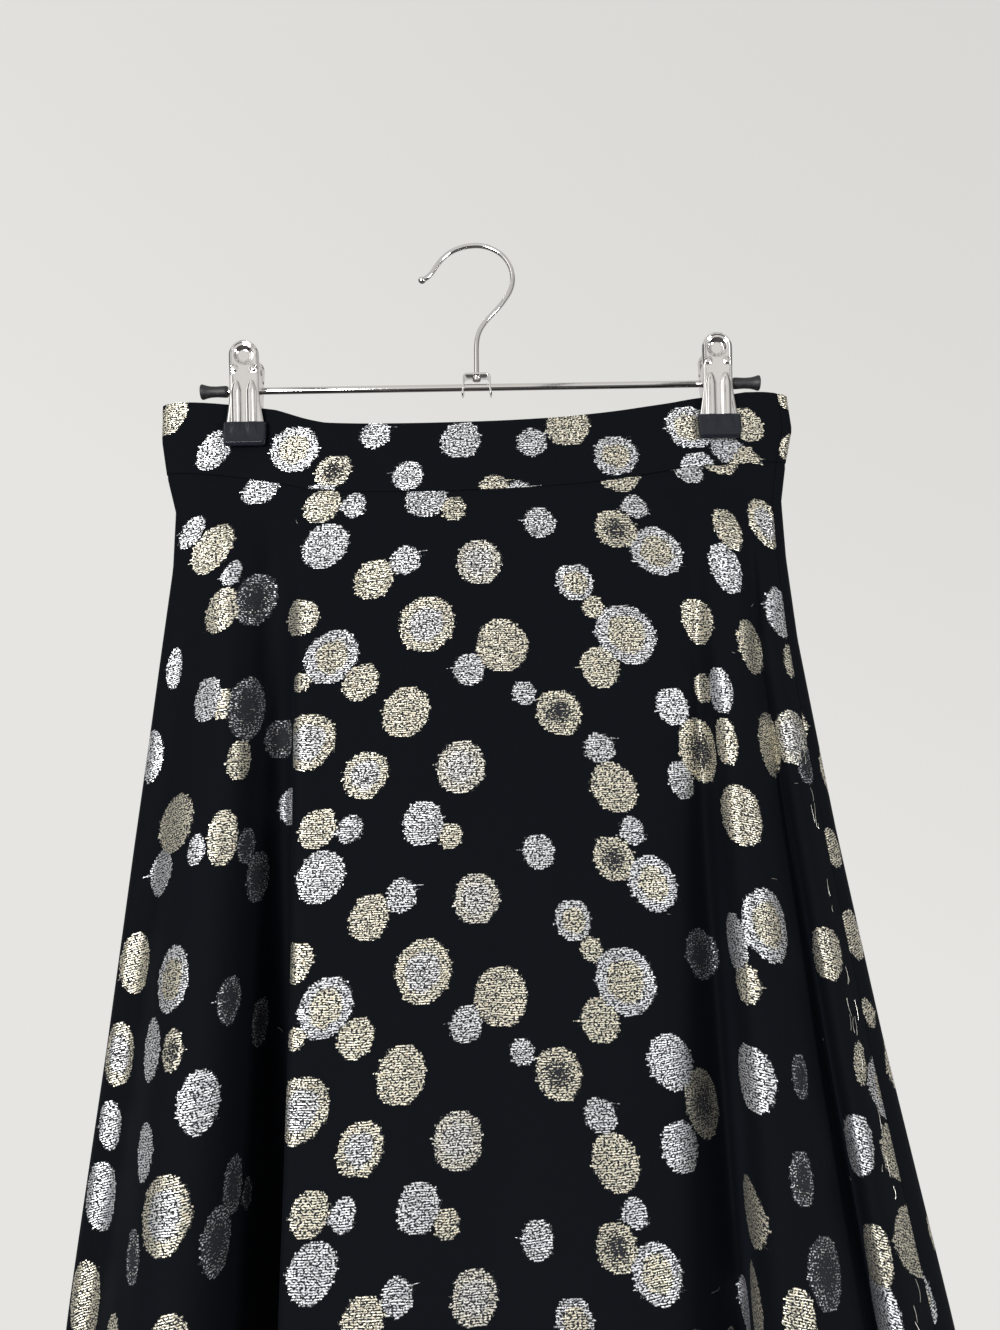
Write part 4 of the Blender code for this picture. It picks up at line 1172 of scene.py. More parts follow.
@dataclass
class ClothPanel:
    """One cut piece of the cloth: a thin shell over its solid, with its place on the flat cloth."""

    node: str
    first: str
    last: str
    top: float
    foot: float
    levels: int
    creases: tuple[Crease, ...]
    thick: float = 0.0012
    steps_per_row: int = 6
    seam_gap: float = 0.0003
    waist_radius: float = 0.50
    on_band: bool = False
    turn: float = 1.0
    shift: tuple[float, float] = (0.0, 0.0)
    flat: tuple[float, float] = (0.9, 0.78)
    area: float = 0.46
    rests: tuple[str, ...] = ("waistband_front",)
    hem: float = 0.012
    hem_edge: float = 0.0015
    hem_thickens: float = 0.8
    level_power: float = 1.15
    side_roll: float = 0.0005
    side_roll_width: float = 0.0025
    waist_roll: float = 0.0004
    waist_roll_width: float = 0.003
    crease_fade: float = 0.012
    grain_shift: float = 0.028
    spread: float = 0.62
    spread_until: float = 0.45
    fall: float = 0.927
    fall_growth: float = 0.204

    def places(self, ring: HangingRing) -> np.ndarray:
        """Places along the ring, from the panel's first row to its last."""
        start, end = ring.index(self.first), ring.index(self.last)
        if end <= start:
            end += ring.count
        return start + np.arange((end - start) * self.steps_per_row + 1) / self.steps_per_row

    def flat_place(self, along: np.ndarray, drop: float) -> np.ndarray:
        """Where points of one level lie on the flat panel, before it was hung.

        Args:
            along: distances along the level from the panel's grain line.
            drop: how far below the waist seam the level is.

        Returns:
            Places across and down the flat cloth.
        """
        if self.on_band:
            return np.stack([along, np.full(len(along), drop)], axis=1)
        radius = self.waist_radius + drop
        angle = along / radius
        return np.stack([radius * np.sin(angle), radius * np.cos(angle) - self.waist_radius], axis=1)

    def rise(self, flat: np.ndarray) -> np.ndarray:
        """How far the creases push the cloth out at places on the flat panel."""
        total = np.zeros(len(flat))
        for crease in self.creases:
            share = (flat[:, 1] - crease.top) / (crease.foot - crease.top)
            middle = crease.across_top + (crease.across_foot - crease.across_top) * share
            window = np.sin(np.pi * np.clip(share, 0.0, 1.0)) ** 0.8
            bell = np.exp(-(((flat[:, 0] - middle) / crease.half_width) ** 2))
            total += crease.rise * window * bell
        return total

    def printed(self, flat: np.ndarray) -> np.ndarray:
        """Where places on the flat panel lie in the chart of spots, eased as the cloth has stretched."""
        if self.on_band:
            return flat + np.array(self.shift)
        down = np.maximum(flat[:, 1], 0.0)
        across = self.turn * flat[:, 0] + self.grain_shift
        across *= 1.0 + self.spread * np.minimum(down, self.spread_until)
        fallen = self.fall * flat[:, 1] + self.fall_growth * down**2
        return np.stack([across, fallen], axis=1) + np.array(self.shift)

    def build(self, ring: HangingRing, chart: SpotChart, finishes: Finishes) -> bpy.types.Object:
        """Args:
            ring: the hanging section.
            chart: the cloth's spots.
            finishes: the object's finishes.

        Returns:
            The finished panel.
        """
        places = self.places(ring)
        power = 1.0 if self.on_band else self.level_power
        drops = self.top + (self.foot - self.top) * np.linspace(0.0, 1.0, self.levels) ** power
        outer, inner, flats = [], [], []
        for drop in drops:
            points, outward = ring.section(drop, places)
            steps = np.hypot(*np.diff(points[:, :2], axis=0).T)
            along = np.concatenate([[0.0], np.cumsum(steps)])
            flat = self.flat_place(along - self.grain(points, along), drop)
            ends = np.minimum(along, along[-1] - along)
            roll = -self.side_roll * np.clip(1.0 - ends / self.side_roll_width, 0.0, 1.0) ** 2
            turned_up = 0.0
            if not self.on_band:
                roll -= self.waist_roll * max(0.0, 1.0 - drop / self.waist_roll_width) ** 2
                turned_up = float(ease((drop - self.foot + self.hem) / self.hem_edge))
            rise = self.rise(flat) * ease(ends / self.crease_fade) + roll
            points = points + outward * rise[:, None]
            if self.on_band:
                lifts = np.interp(points[:, 0], *zip(*BAND_LIFTS))
                points[:, 2] += lifts * (drop / self.top) ** 2
            behind = points - outward * self.thick * (1.0 + self.hem_thickens * turned_up)
            for skin in (points, behind):
                for end, beside in ((0, 1), (-1, -2)):
                    inward = skin[beside] - skin[end]
                    skin[end] += inward / np.linalg.norm(inward) * self.seam_gap / 2
            outer.append(points)
            inner.append(behind)
            flats.append(flat)
        piece = self.shell(np.array(outer), np.array(inner), np.array(flats), chart)
        hand_over(piece, finishes.cloth, HELD, [self.node])
        return piece

    def grain(self, points: np.ndarray, along: np.ndarray) -> float:
        """How far along a level the panel's grain line crosses it."""
        if self.last == "centre_back":
            return float(along[-1])
        if self.first == "centre_back":
            return float(along[0])
        return float(np.interp(0.0, points[:, 0], along)) if self.on_band else self.middle(points, along)

    @staticmethod
    def middle(points: np.ndarray, along: np.ndarray) -> float:
        """Where a folded level crosses the middle of the front."""
        crossing = int(np.argmin(np.abs(points[:, 0])))
        return float(along[crossing] - points[crossing, 0])

    def shell(
        self, outer: np.ndarray, inner: np.ndarray, flats: np.ndarray, chart: SpotChart
    ) -> bpy.types.Object:
        """Makes a closed shell of two skins, with its maps of the flat cloth and of the spots.

        Args:
            outer: the outer skin's points, level by level.
            inner: the inner skin's points.
            flats: each point's place on the flat panel.
            chart: the cloth's spots.

        Returns:
            The shell.
        """
        levels, columns = outer.shape[:2]
        count = levels * columns
        number = np.arange(count).reshape(levels, columns)
        far = [number[:-1, :-1], number[1:, :-1], number[1:, 1:], number[:-1, 1:]]
        quads = [np.stack(far, axis=-1).reshape(-1, 4)]
        quads.append(quads[0][:, ::-1] + count)
        for line, flip in ((number[:, 0], False), (number[:, -1], True)):
            strip = np.stack([line[:-1], line[:-1] + count, line[1:] + count, line[1:]], axis=-1)
            quads.append(strip[:, ::-1] if flip else strip)
        for line, flip in ((number[0], False), (number[-1], True)):
            strip = np.stack([line[:-1], line[1:], line[1:] + count, line[:-1] + count], axis=-1)
            quads.append(strip[:, ::-1] if flip else strip)
        faces = np.concatenate(quads)
        mesh = bpy.data.meshes.new(f"{self.node}_cloth")
        mesh.from_pydata(np.concatenate([outer, inner]).reshape(-1, 3).tolist(), [], faces.tolist())
        mesh.update()
        printed = self.printed(flats.reshape(-1, 2))
        corners = printed[faces % count]
        cloth = mesh.uv_layers.new(name="cloth")
        cloth.data.foreach_set("uv", corners.astype(np.float32).ravel())
        for rank, label in enumerate(("one", "two")):
            middles, chosen = chart.nearest(corners.mean(axis=1), rank)
            local = (corners - middles[:, None, :]) * 100.0
            beside = middles[:, :1] - SPOTS_UPRIGHT_AT
            lean = np.clip(-SPOTS_LEAN * beside, *SPOTS_LEAN_LIMITS)
            local[..., 0] += lean * local[..., 1]
            turned = 1.0 + SIDES_STRETCH * ease((np.abs(beside) - SIDES_FROM) / SIDES_EASE)
            local[..., 0] *= turned / chart.spreads[chosen][:, None]
            layer = mesh.uv_layers.new(name=f"spot_{label}")
            layer.data.foreach_set("uv", local.astype(np.float32).ravel())
            # Each corner keeps its spot's goldness, how deep its painted shade is, and its radius.
            look = np.concatenate([chart.looks[chosen], chart.radii[chosen][:, None] * 100.0], axis=1)
            colour = mesh.color_attributes.new(f"look_{label}", "FLOAT_COLOR", "CORNER")
            colour.data.foreach_set("color", np.repeat(look, 4, axis=0).astype(np.float32).ravel())
        piece = Bench.add(f"{self.node}_cloth", mesh)
        Bench.focus(piece)
        bpy.ops.object.shade_smooth_by_angle(angle=math.radians(50))
        return piece


@dataclass
class Garment:
    """The skirt's cloth: a shaped band in three pieces over three flared panels."""

    ring: HangingRing = field(default_factory=HangingRing)

    def panels(self) -> list[ClothPanel]:
        """The cut pieces, with what each measures flat."""
        band = {"top": -0.040, "foot": -0.0003, "levels": 14, "on_band": True}
        skirt = {"top": 0.0, "foot": 0.760, "levels": 132}
        return [
            ClothPanel(
                "waistband_front", "left_seam", "right_seam", creases=BAND_CREASES,
                flat=(0.355, 0.042), area=0.0142,
                rests=("clip_left_front_grip", "clip_right_front_grip"), **band,
            ),
            ClothPanel(
                "waistband_back_right", "right_seam", "centre_back", creases=(), shift=(0.33, -0.05),
                flat=(0.180, 0.042), area=0.0070, rests=("clip_right_back_grip",), **band,
            ),
            ClothPanel(
                "waistband_back_left", "centre_back", "left_seam", creases=(), shift=(0.21, -0.05),
                flat=(0.180, 0.042), area=0.0070, rests=("clip_left_back_grip",), **band,
            ),
            ClothPanel(
                "skirt_front", "left_seam", "right_seam", creases=FRONT_CREASES,
                flat=(0.92, 0.78), area=0.50, **skirt,
            ),
            ClothPanel(
                "skirt_back_right", "right_seam", "centre_back", creases=self.mirrored(BACK_CREASES),
                turn=-1.0, shift=(0.10, 0.055), flat=(0.46, 0.78), area=0.23,
                rests=("waistband_back_right",), **skirt,
            ),
            ClothPanel(
                "skirt_back_left", "centre_back", "left_seam", creases=BACK_CREASES,
                turn=-1.0, shift=(0.10, 0.055), flat=(0.42, 0.78), area=0.21,
                rests=("waistband_back_left",), **skirt,
            ),
        ]

    @staticmethod
    def mirrored(creases: Sequence[Crease]) -> tuple[Crease, ...]:
        """The same creases on the other side of the grain line, a little shifted."""
        return tuple(
            crease._replace(
                across_top=-crease.across_top - 0.006,
                across_foot=-crease.across_foot + 0.010,
                foot=crease.foot * 0.92,
            )
            for crease in creases
        )

    def build(self, finishes: Finishes) -> None:
        """Makes every panel, with the spots' lists filled up to the whole repeat."""
        spots = LEFT_SPOTS + MIDDLE_SPOTS + RIGHT_SPOTS
        for spot in MIDDLE_SPOTS:
            for thirds in (1, 2):
                spots += (spot._replace(down=spot.down + thirds * THIRD_REPEAT),)
        for spot in LEFT_SPOTS + RIGHT_SPOTS:
            low = spot.down + 2 * THIRD_REPEAT
            if SIDES_LISTED < low < REPEAT_DOWN - REPEAT_MARGIN:
                spots += (spot._replace(down=low),)
        skirt = SpotChart(spots, REPEAT_ACROSS, REPEAT_DOWN)
        band = SpotChart(BAND_SPOTS, BAND_REPEAT_ACROSS, BAND_REPEAT_DOWN)
        for panel in self.panels():
            panel.build(self.ring, band if panel.node == "waistband_front" else skirt, finishes)


@dataclass
class StrayThreads:
    """Loose ends of metallic thread beside the right seam and round a few spots."""

    ring: HangingRing = field(default_factory=HangingRing)
    seam_count: int = 30
    loose_count: int = 26
    radius: float = 0.00008
    curl: float = 0.0009
    stands_off: float = 0.0006
    arches: float = 0.0014
    bends: int = 5
    seam_lengths: tuple[float, float] = (0.002, 0.009)
    seam_slants: tuple[float, float] = (-0.12, 0.12)
    loose_drops: tuple[float, float] = (0.02, 0.42)
    loose_lengths: tuple[float, float] = (-0.002, 0.003)
    loose_slants: tuple[float, float] = (0.1, 0.3)

    def path(self, place: float, drop: float, length: float, slant: float) -> list[tuple[float, ...]]:
        """A thread that lies on the cloth.

        Args:
            place: where it starts along the ring, counted in rows.
            drop: how far below the waist seam it starts.
            length: how far down it runs.
            slant: how many rows it crosses.

        Returns:
            Its points.
        """
        points = []
        curl = random.uniform(-self.curl, self.curl)
        for step in range(self.bends + 1):
            share = step / self.bends
            spot, outward = self.ring.section(drop + length * share, np.array([place + slant * share]))
            lift = self.stands_off + self.arches * share * (1.0 - share)
            spot = spot[0] + outward[0] * lift
            points.append((spot[0] + curl * math.sin(math.pi * share), spot[1], spot[2]))
        return points

    def build(self, finishes: Finishes) -> None:
        """Makes the threads as one piece."""
        seam = self.ring.index("right_seam")
        paths = []
        for _ in range(self.seam_count):
            drop = 0.16 + 0.27 * random.random() ** 0.8
            place = seam - 0.9 + random.gauss(0.0, 0.22)
            length = random.uniform(*self.seam_lengths)
            paths.append(self.path(place, drop, length, random.uniform(*self.seam_slants)))
        for _ in range(self.loose_count):
            place = random.uniform(6.0, seam - 1.5)
            drop = random.uniform(*self.loose_drops)
            length = random.uniform(*self.loose_lengths)
            paths.append(self.path(place, drop, length, random.uniform(*self.loose_slants)))
        piece = Bench.wire("stray_threads", paths, self.radius, 1)
        hand_over(piece, finishes.lurex, HELD, [])


class HookPoint(NamedTuple):
    """A point of the hook's wire, in its upright plane."""

    x: float
    z: float


HOOK_LIP = (
    HookPoint(-0.0312, -0.0207),
    HookPoint(-0.0300, -0.0201),
    HookPoint(-0.0283, -0.0191),
    HookPoint(-0.0267, -0.0177),
    HookPoint(-0.0253, -0.0160),
    HookPoint(-0.0242, -0.0143),
    HookPoint(-0.0232, -0.0126),
    HookPoint(-0.0222, -0.0110),
    HookPoint(-0.0211, -0.0094),
    HookPoint(-0.0198, -0.0077),
    HookPoint(-0.0182, -0.0059),
    HookPoint(-0.0160, -0.0039),
    HookPoint(-0.0134, -0.0020),
    HookPoint(-0.0105, -0.0006),
    HookPoint(-0.0073, 0.0005),
    HookPoint(-0.0036, 0.0013),
)

HOOK_SWAN = (
    HookPoint(0.0164, -0.0342),
    HookPoint(0.0146, -0.0369),
    HookPoint(0.0124, -0.0397),
    HookPoint(0.0097, -0.0427),
    HookPoint(0.0069, -0.0458),
    HookPoint(0.0045, -0.0489),
    HookPoint(0.0024, -0.0523),
    HookPoint(0.0010, -0.0560),
)

HOOK_STEM = (
    HookPoint(0.0003, -0.0597),
    HookPoint(0.0, -0.0640),
    HookPoint(0.0, -0.0700),
    HookPoint(0.0, -0.0830),
)


class TurnedRow(NamedTuple):
    """A ring of a turned piece: its distance along the axis and its radius."""

    along: float
    radius: float


HOOK_HEAD = (
    TurnedRow(0.0, 0.0012),
    TurnedRow(0.0002, 0.0022),
    TurnedRow(0.0009, 0.00235),
    TurnedRow(0.0032, 0.00235),
    TurnedRow(0.0040, 0.0021),
    TurnedRow(0.0041, 0.0008),
)

BAR_CAP = (
    TurnedRow(0.0, 0.0021),
    TurnedRow(0.0, 0.0028),
    TurnedRow(0.0004, 0.00315),
    TurnedRow(0.0014, 0.0033),
    TurnedRow(0.0030, 0.00318),
    TurnedRow(0.0066, 0.0030),
    TurnedRow(0.0100, 0.00318),
    TurnedRow(0.0124, 0.0037),
    TurnedRow(0.0138, 0.0042),
    TurnedRow(0.0146, 0.0043),
    TurnedRow(0.0150, 0.0040),
    TurnedRow(0.0150, 0.0026),
    TurnedRow(0.0147, 0.0008),
)


@dataclass
class Hanger:
    """The chrome hanger: hook, saddle, bar and the caps on its ends."""

    wire: float = 0.0030
    hook_radius: float = 0.0215
    bulb: tuple[float, float, float] = (-0.0309, 0.0, -0.0205)
    bulb_radius: float = 0.00205
    head_foot_z: float = -0.0846
    bar_z: float = -0.0885
    bar: float = 0.0040
    bar_left: float = -0.1530
    bar_right: float = 0.1570
    cap_length: float = 0.0150
    cap_overhang: float = 0.0023
    saddle_half: float = 0.0070
    saddle_depth: float = 0.0074
    saddle_top_z: float = -0.0820
    saddle_foot_z: float = -0.0932
    saddle_sheet: float = 0.0010
    saddle_corner: float = 0.0020

    def hook(self, finishes: Finishes) -> None:
        """The hook: a small bulb at its open end, a round crook and a stem."""
        centre_z = self.wire / 2 - self.hook_radius
        first, step, count = 88, 4, 31
        turns = [math.radians(first - step * k) for k in range(count)]
        crook = [
            (self.hook_radius * math.cos(a), 0.0, centre_z + self.hook_radius * math.sin(a)) for a in turns
        ]
        path = [(point.x, 0.0, point.z) for point in HOOK_LIP]
        path += crook + [(point.x, 0.0, point.z) for point in HOOK_SWAN + HOOK_STEM]
        rod = Bench.wire("hook_rod", [path], self.wire / 2, 7, "NURBS")
        Bench.clear()
        bpy.ops.mesh.primitive_uv_sphere_add(
            segments=28, ring_count=18, radius=self.bulb_radius, location=self.bulb
        )
        bulb = Bench.start("hook_bulb")
        bpy.ops.transform.resize(value=(1.15, 1.0, 1.0))
        head = Bench.turned("hook_head", HOOK_HEAD, (0.0, 0.0, 0.0))
        bpy.ops.transform.rotate(value=math.radians(90), orient_axis="Y", center_override=(0.0, 0.0, 0.0))
        low = min(vertex.co.z for vertex in Bench.settle(head).data.vertices)
        bpy.ops.transform.translate(value=(0.0, 0.0, self.head_foot_z - low))
        piece = Bench.join([rod, Bench.finish(bulb), head], "hook_chrome")
        hand_over(Bench.finish(piece), finishes.chrome, HELD, ["hanger_hook"])

    def saddle(self, finishes: Finishes) -> None:
        """The folded bracket over the bar, with small feet bent out under it."""
        half, corner = self.saddle_half, self.saddle_corner
        turns = [math.radians(18 * k) for k in range(6)]
        bend = [
            (-half + corner * (1 - math.cos(a)), self.saddle_top_z - corner * (1 - math.sin(a)))
            for a in turns
        ]
        foot = [(-half - 0.0006, self.saddle_foot_z), (-half - 0.0003, self.saddle_foot_z + 0.0016)]
        foot.append((-half, self.saddle_foot_z + 0.0032))
        path = foot + bend
        path += [(-x, z) for x, z in reversed(path)]
        Bench.clear()
        bpy.ops.mesh.primitive_plane_add(size=self.saddle_depth, location=(0.0, 0.0, 0.0))
        piece = Bench.start("saddle_chrome")
        bpy.ops.object.mode_set(mode="EDIT")
        bpy.ops.mesh.select_mode(type="VERT")
        bpy.ops.mesh.select_all(action="DESELECT")
        bpy.ops.object.mode_set(mode="OBJECT")
        for vertex in piece.data.vertices:
            vertex.select = vertex.co.x > 0
        bpy.ops.object.mode_set(mode="EDIT")
        bpy.ops.mesh.delete(type="VERT")
        bpy.ops.mesh.select_all(action="SELECT")
        start = (-self.saddle_depth / 2, 0.0)
        bpy.ops.transform.translate(value=(path[0][0] - start[0], 0.0, path[0][1]))
        for (x, z), (next_x, next_z) in zip(path, path[1:]):
            bpy.ops.mesh.extrude_region_move(
                TRANSFORM_OT_translate={"value": (next_x - x, 0.0, next_z - z)}
            )
        bpy.ops.object.mode_set(mode="OBJECT")
        Bench.finish(piece)
        Bench.modify(piece, "SOLIDIFY", thickness=self.saddle_sheet, offset=-1.0)
        Bench.modify(piece, "BEVEL", width=0.00022, segments=2)
        hand_over(Bench.finish(piece), finishes.chrome, HELD, ["hanger_saddle"])

    def rail(self, finishes: Finishes) -> None:
        """The bar and its two flared caps."""
        length = self.bar_right - self.bar_left
        middle = (self.bar_left + self.bar_right) / 2
        Bench.clear()
        bpy.ops.mesh.primitive_cylinder_add(
            vertices=40, radius=self.bar / 2, depth=length,
            location=(middle, 0.0, self.bar_z), rotation=(0.0, math.radians(90), 0.0),
        )
        bar = Bench.settle(Bench.start("bar_chrome"))
        Bench.modify(bar, "BEVEL", width=0.0003, segments=3)
        hand_over(Bench.finish(bar), finishes.chrome, HELD, ["hanger_bar"])
        for side, end, way in (("left", self.bar_left, -1.0), ("right", self.bar_right, 1.0)):
            inner = end - way * (self.cap_length - self.cap_overhang)
            cap = Bench.turned(
                f"bar_cap_{side}_rubber",
                [(way * row.along, row.radius) for row in BAR_CAP],
                (inner, 0.0, self.bar_z),
            )
            hand_over(cap, finishes.cap, HELD, [f"bar_cap_{side}"])

    def build(self, finishes: Finishes) -> None:
        """Makes the hanger's own pieces."""
        self.hook(finishes)
        self.saddle(finishes)
        self.rail(finishes)


class PlateRow(NamedTuple):
    """One row of a clip's pressed plate, by its share of the way from the jaw's foot to the top."""

    up: float
    half: float
    flange: float


PLATE_ROWS = (
    PlateRow(0.00, 0.0105, 0.0006),
    PlateRow(0.20, 0.0104, 0.0008),
    PlateRow(0.31, 0.0094, 0.0014),
    PlateRow(0.42, 0.0085, 0.0022),
    PlateRow(0.49, 0.0082, 0.0108),
    PlateRow(0.57, 0.0081, 0.0126),
    PlateRow(0.65, 0.0081, 0.0108),
    PlateRow(0.71, 0.0082, 0.0026),
    PlateRow(0.80, 0.0083, 0.0016),
    PlateRow(0.90, 0.0083, 0.0013),
    PlateRow(1.00, 0.0083, 0.0010),
)


@dataclass
class Clip:
    """One sprung clip: two pressed plates that pivot on the bar, with a soft grip on each jaw."""

    side: str
    x: float
    lean: float
    top_z: float = -0.0632
    foot_z: float = -0.1222
    bar_z: float = -0.0885
    plate_top_y: float = 0.0118
    plate_jaw_y: float = 0.0064
    thick: float = 0.0008
    arch_radius: float = 0.0083
    edge_round: float = 0.0006
    rim_rise: float = 0.00042
    rim_inset: float = 0.0012
    rim_half: float = 0.00045
    rim_foot_z: float = -0.0845
    dimple_down: float = 0.0085
    dimple_radius: float = 0.0058
    dimple_sink: float = 0.0017
    boss: tuple[float, float] = (0.0053, -0.0796)
    boss_radius: float = 0.0026
    boss_rise: float = 0.0007
    eye_shift: tuple[float, float] = (0.0012, 0.0006)
    eye_radius: float = 0.0009
    eye_sink: float = 0.0020
    flute_x: float = 0.0042
    flute_tip_z: float = -0.0864
    flute_rise: float = 0.0009
    flute_half: float = 0.0031
    flute_point: float = 0.0060
    groove_half: float = 0.0007
    groove_starts: float = 0.008
    grip_top_z: float = -0.1100
    grip_foot_z: float = -0.1242
    grip_width: float = 0.0242
    grip_depth: float = 0.0036
    grip_face_y: float = 0.0044
    grip_round: float = 0.0017
    grip_flutes: float = 0.00085
    grip_plain: float = 0.0030
    grip_fades: float = 0.0090
    lip_up: float = 0.0016
    lip_half: float = 0.0004
    lip_rise: float = 0.00035
    coil_turns: int = 3
    coil_pitch: float = 0.0014
    coil_radius: float = 0.0034
    coil_points: int = 76
    spring_wire: float = 0.0005
    arm_end: tuple[float, float] = (0.0075, 0.0110)

    def flutes(self, across: float, z: float) -> float:
        """How far two pointed flutes stand at a place, from 0 beside them to 1 along their sides."""
        below = self.flute_tip_z - z
        if below <= 0.0:
            return 0.0
        width = self.flute_half * math.sqrt(min(1.0, below / self.flute_point))
        off = abs(abs(across) - self.flute_x)
        groove = 0.30 * math.exp(-((off / self.groove_half) ** 2)) * min(1.0, below / self.groove_starts)
        return float(ease(1.6 - 1.6 * off / width)) - groove

    def relief(self, across: float, z: float, half_width: float) -> float:
        """How far the plate is pressed out at a place.

        Args:
            across: distance from the plate's middle line.
            z: height.
            half_width: the plate's half-width at that height.

        Returns:
            The rise of its rim, dimple, bosses and flutes together.
        """
        over = max(0.0, z - self.top_z + self.arch_radius)
        inset = self.arch_radius - math.hypot(across, over) if over > 0.0 else half_width - abs(across)
        rim = math.exp(-(((inset - self.rim_inset) / self.rim_half) ** 2))
        height = self.rim_rise * rim * float(ease((z - self.rim_foot_z) / 0.006))
        off = math.hypot(across, z - self.top_z + self.dimple_down) / self.dimple_radius
        height -= self.dimple_sink * float(ease(1.35 * (1.0 - off * off)))
        beside, above = abs(across) - self.boss[0], z - self.boss[1]
        boss = math.hypot(beside, above) / self.boss_radius
        height += self.boss_rise * float(ease(1.5 - 1.5 * boss))
        eye = math.hypot(beside - self.eye_shift[0], above - self.eye_shift[1]) / self.eye_radius
        height -= self.eye_sink * float(ease(1.4 - 1.4 * eye))
        return height + self.flute_rise * self.flutes(across, z)

    def row_at(self, up: float) -> tuple[float, float]:
        """Half-width and flange of the plate at a share of its height."""
        shares = [row.up for row in PLATE_ROWS]
        half = float(np.interp(up, shares, [row.half for row in PLATE_ROWS]))
        over = (up - 1.0) * (self.top_z - self.foot_z) + self.arch_radius
        if over > 0.0:
            half = min(half, math.sqrt(max(self.arch_radius**2 - over**2, 0.0004**2)))
        return half, float(np.interp(up, shares, [row.flange for row in PLATE_ROWS]))

    def plate(self, half: str, way: float, nest: float, finishes: Finishes) -> None:
        """One pressed plate, its sides folded back towards the bar.

        Args:
            half: front or back.
            way: -1 for the front plate, 1 for the back one.
            nest: how far its sides are drawn in.
            finishes: the object's finishes.
        """
        across_steps, up_steps, fold_steps = 60, 116, 4
        Bench.clear()
        bpy.ops.mesh.primitive_grid_add(
            x_subdivisions=across_steps + 2 * fold_steps, y_subdivisions=up_steps, size=1.0
        )
        piece = Bench.start(f"clip_{self.side}_{half}_plate_chrome")
        height = self.top_z - self.foot_z
        columns = across_steps + 2 * fold_steps
        for vertex in piece.data.vertices:
            column = round((vertex.co.x + 0.5) * columns)
            up = 1.0 - (0.5 - vertex.co.y) ** 1.5
            half_width, flange = self.row_at(up)
            half_width -= nest
            z = self.foot_z + up * height
            base = self.plate_jaw_y + (self.plate_top_y - self.plate_jaw_y) * max((up - 0.2) / 0.8, 0.0)
            folded = max(fold_steps - column, column - fold_steps - across_steps, 0) / fold_steps
            share = min(max((column - fold_steps) / across_steps, 0.0), 1.0) * 2.0 - 1.0
            share = even_out(share)
            across = share * half_width
            rounding = self.edge_round * abs(share) ** 14
            out = base + self.relief(across, z, half_width) - rounding - folded * flange
            vertex.co = (self.x + across + self.lean * (self.top_z - z), way * out, z)
        Bench.finish(piece)
        Bench.modify(piece, "SOLIDIFY", thickness=self.thick, offset=-1.0)
        Bench.finish(piece, 55.0)
        hand_over(piece, finishes.chrome, HELD, [f"clip_{self.side}_{half}_plate"])

    def sleeve(self, corner: Vector, way: float) -> tuple[float, float, float]:
        """Where a point of a two-metre cube lies on the grip.

        Args:
            corner: the point on the cube.
            way: -1 for the front jaw, 1 for the back one.

        Returns:
            The point on the rounded sleeve.
        """
        drop = (self.grip_top_z - self.grip_foot_z) / 2
        spread = [even_out(part) for part in corner]
        taper = 1.0 - 0.045 * float(ease(0.2 - spread[2])) - 0.02 * float(ease(spread[2] - 0.2))
        size = (self.grip_width / 2 * taper, self.grip_depth / 2, drop)
        place = Vector([share * half for share, half in zip(spread, size)])
        limits = [half - self.grip_round for half in size]
        core = Vector([min(max(part, -limit), limit) for part, limit in zip(place, limits)])
        out = place - core
        place = core + out.normalized() * self.grip_round if out.length > 1e-9 else place
        if corner.y * way > 0.99:
            z = place.z + (self.grip_top_z + self.grip_foot_z) / 2
            fade = float(ease((z - self.grip_foot_z - self.grip_plain) / self.grip_fades))
            fade *= float(ease(6.0 * (1.0 - abs(corner.z))))
            flutes = self.flutes(place.x * (0.80 + 0.20 * fade), z)
            place.y += way * self.grip_flutes * flutes * fade
            lip = math.exp(-(((drop + place.z - self.lip_up) / self.lip_half) ** 2))
            place.y += way * self.lip_rise * lip * float(ease(5.0 * (1.0 - abs(corner.x))))
        place.y += way * (self.grip_face_y + self.grip_depth / 2)
        z = place.z + (self.grip_top_z + self.grip_foot_z) / 2
        return (place.x + self.x + self.lean * (self.top_z - z), place.y, z)

    def grip(self, half: str, way: float, finishes: Finishes) -> None:
        """The soft sleeve on a jaw: it shows the plate's flutes and has a lip along its foot."""
        Bench.clear()
        bpy.ops.mesh.primitive_cube_add(size=2.0)
        piece = Bench.start(f"clip_{self.side}_{half}_grip_rubber")
        Bench.open_all()
        bpy.ops.mesh.subdivide(number_cuts=35)
        bpy.ops.object.mode_set(mode="OBJECT")
        for vertex in piece.data.vertices:
            vertex.co = self.sleeve(vertex.co, way)
        Bench.finish(piece, 60.0)
        hand_over(piece, finishes.grip, HELD, [f"clip_{self.side}_{half}_grip"])

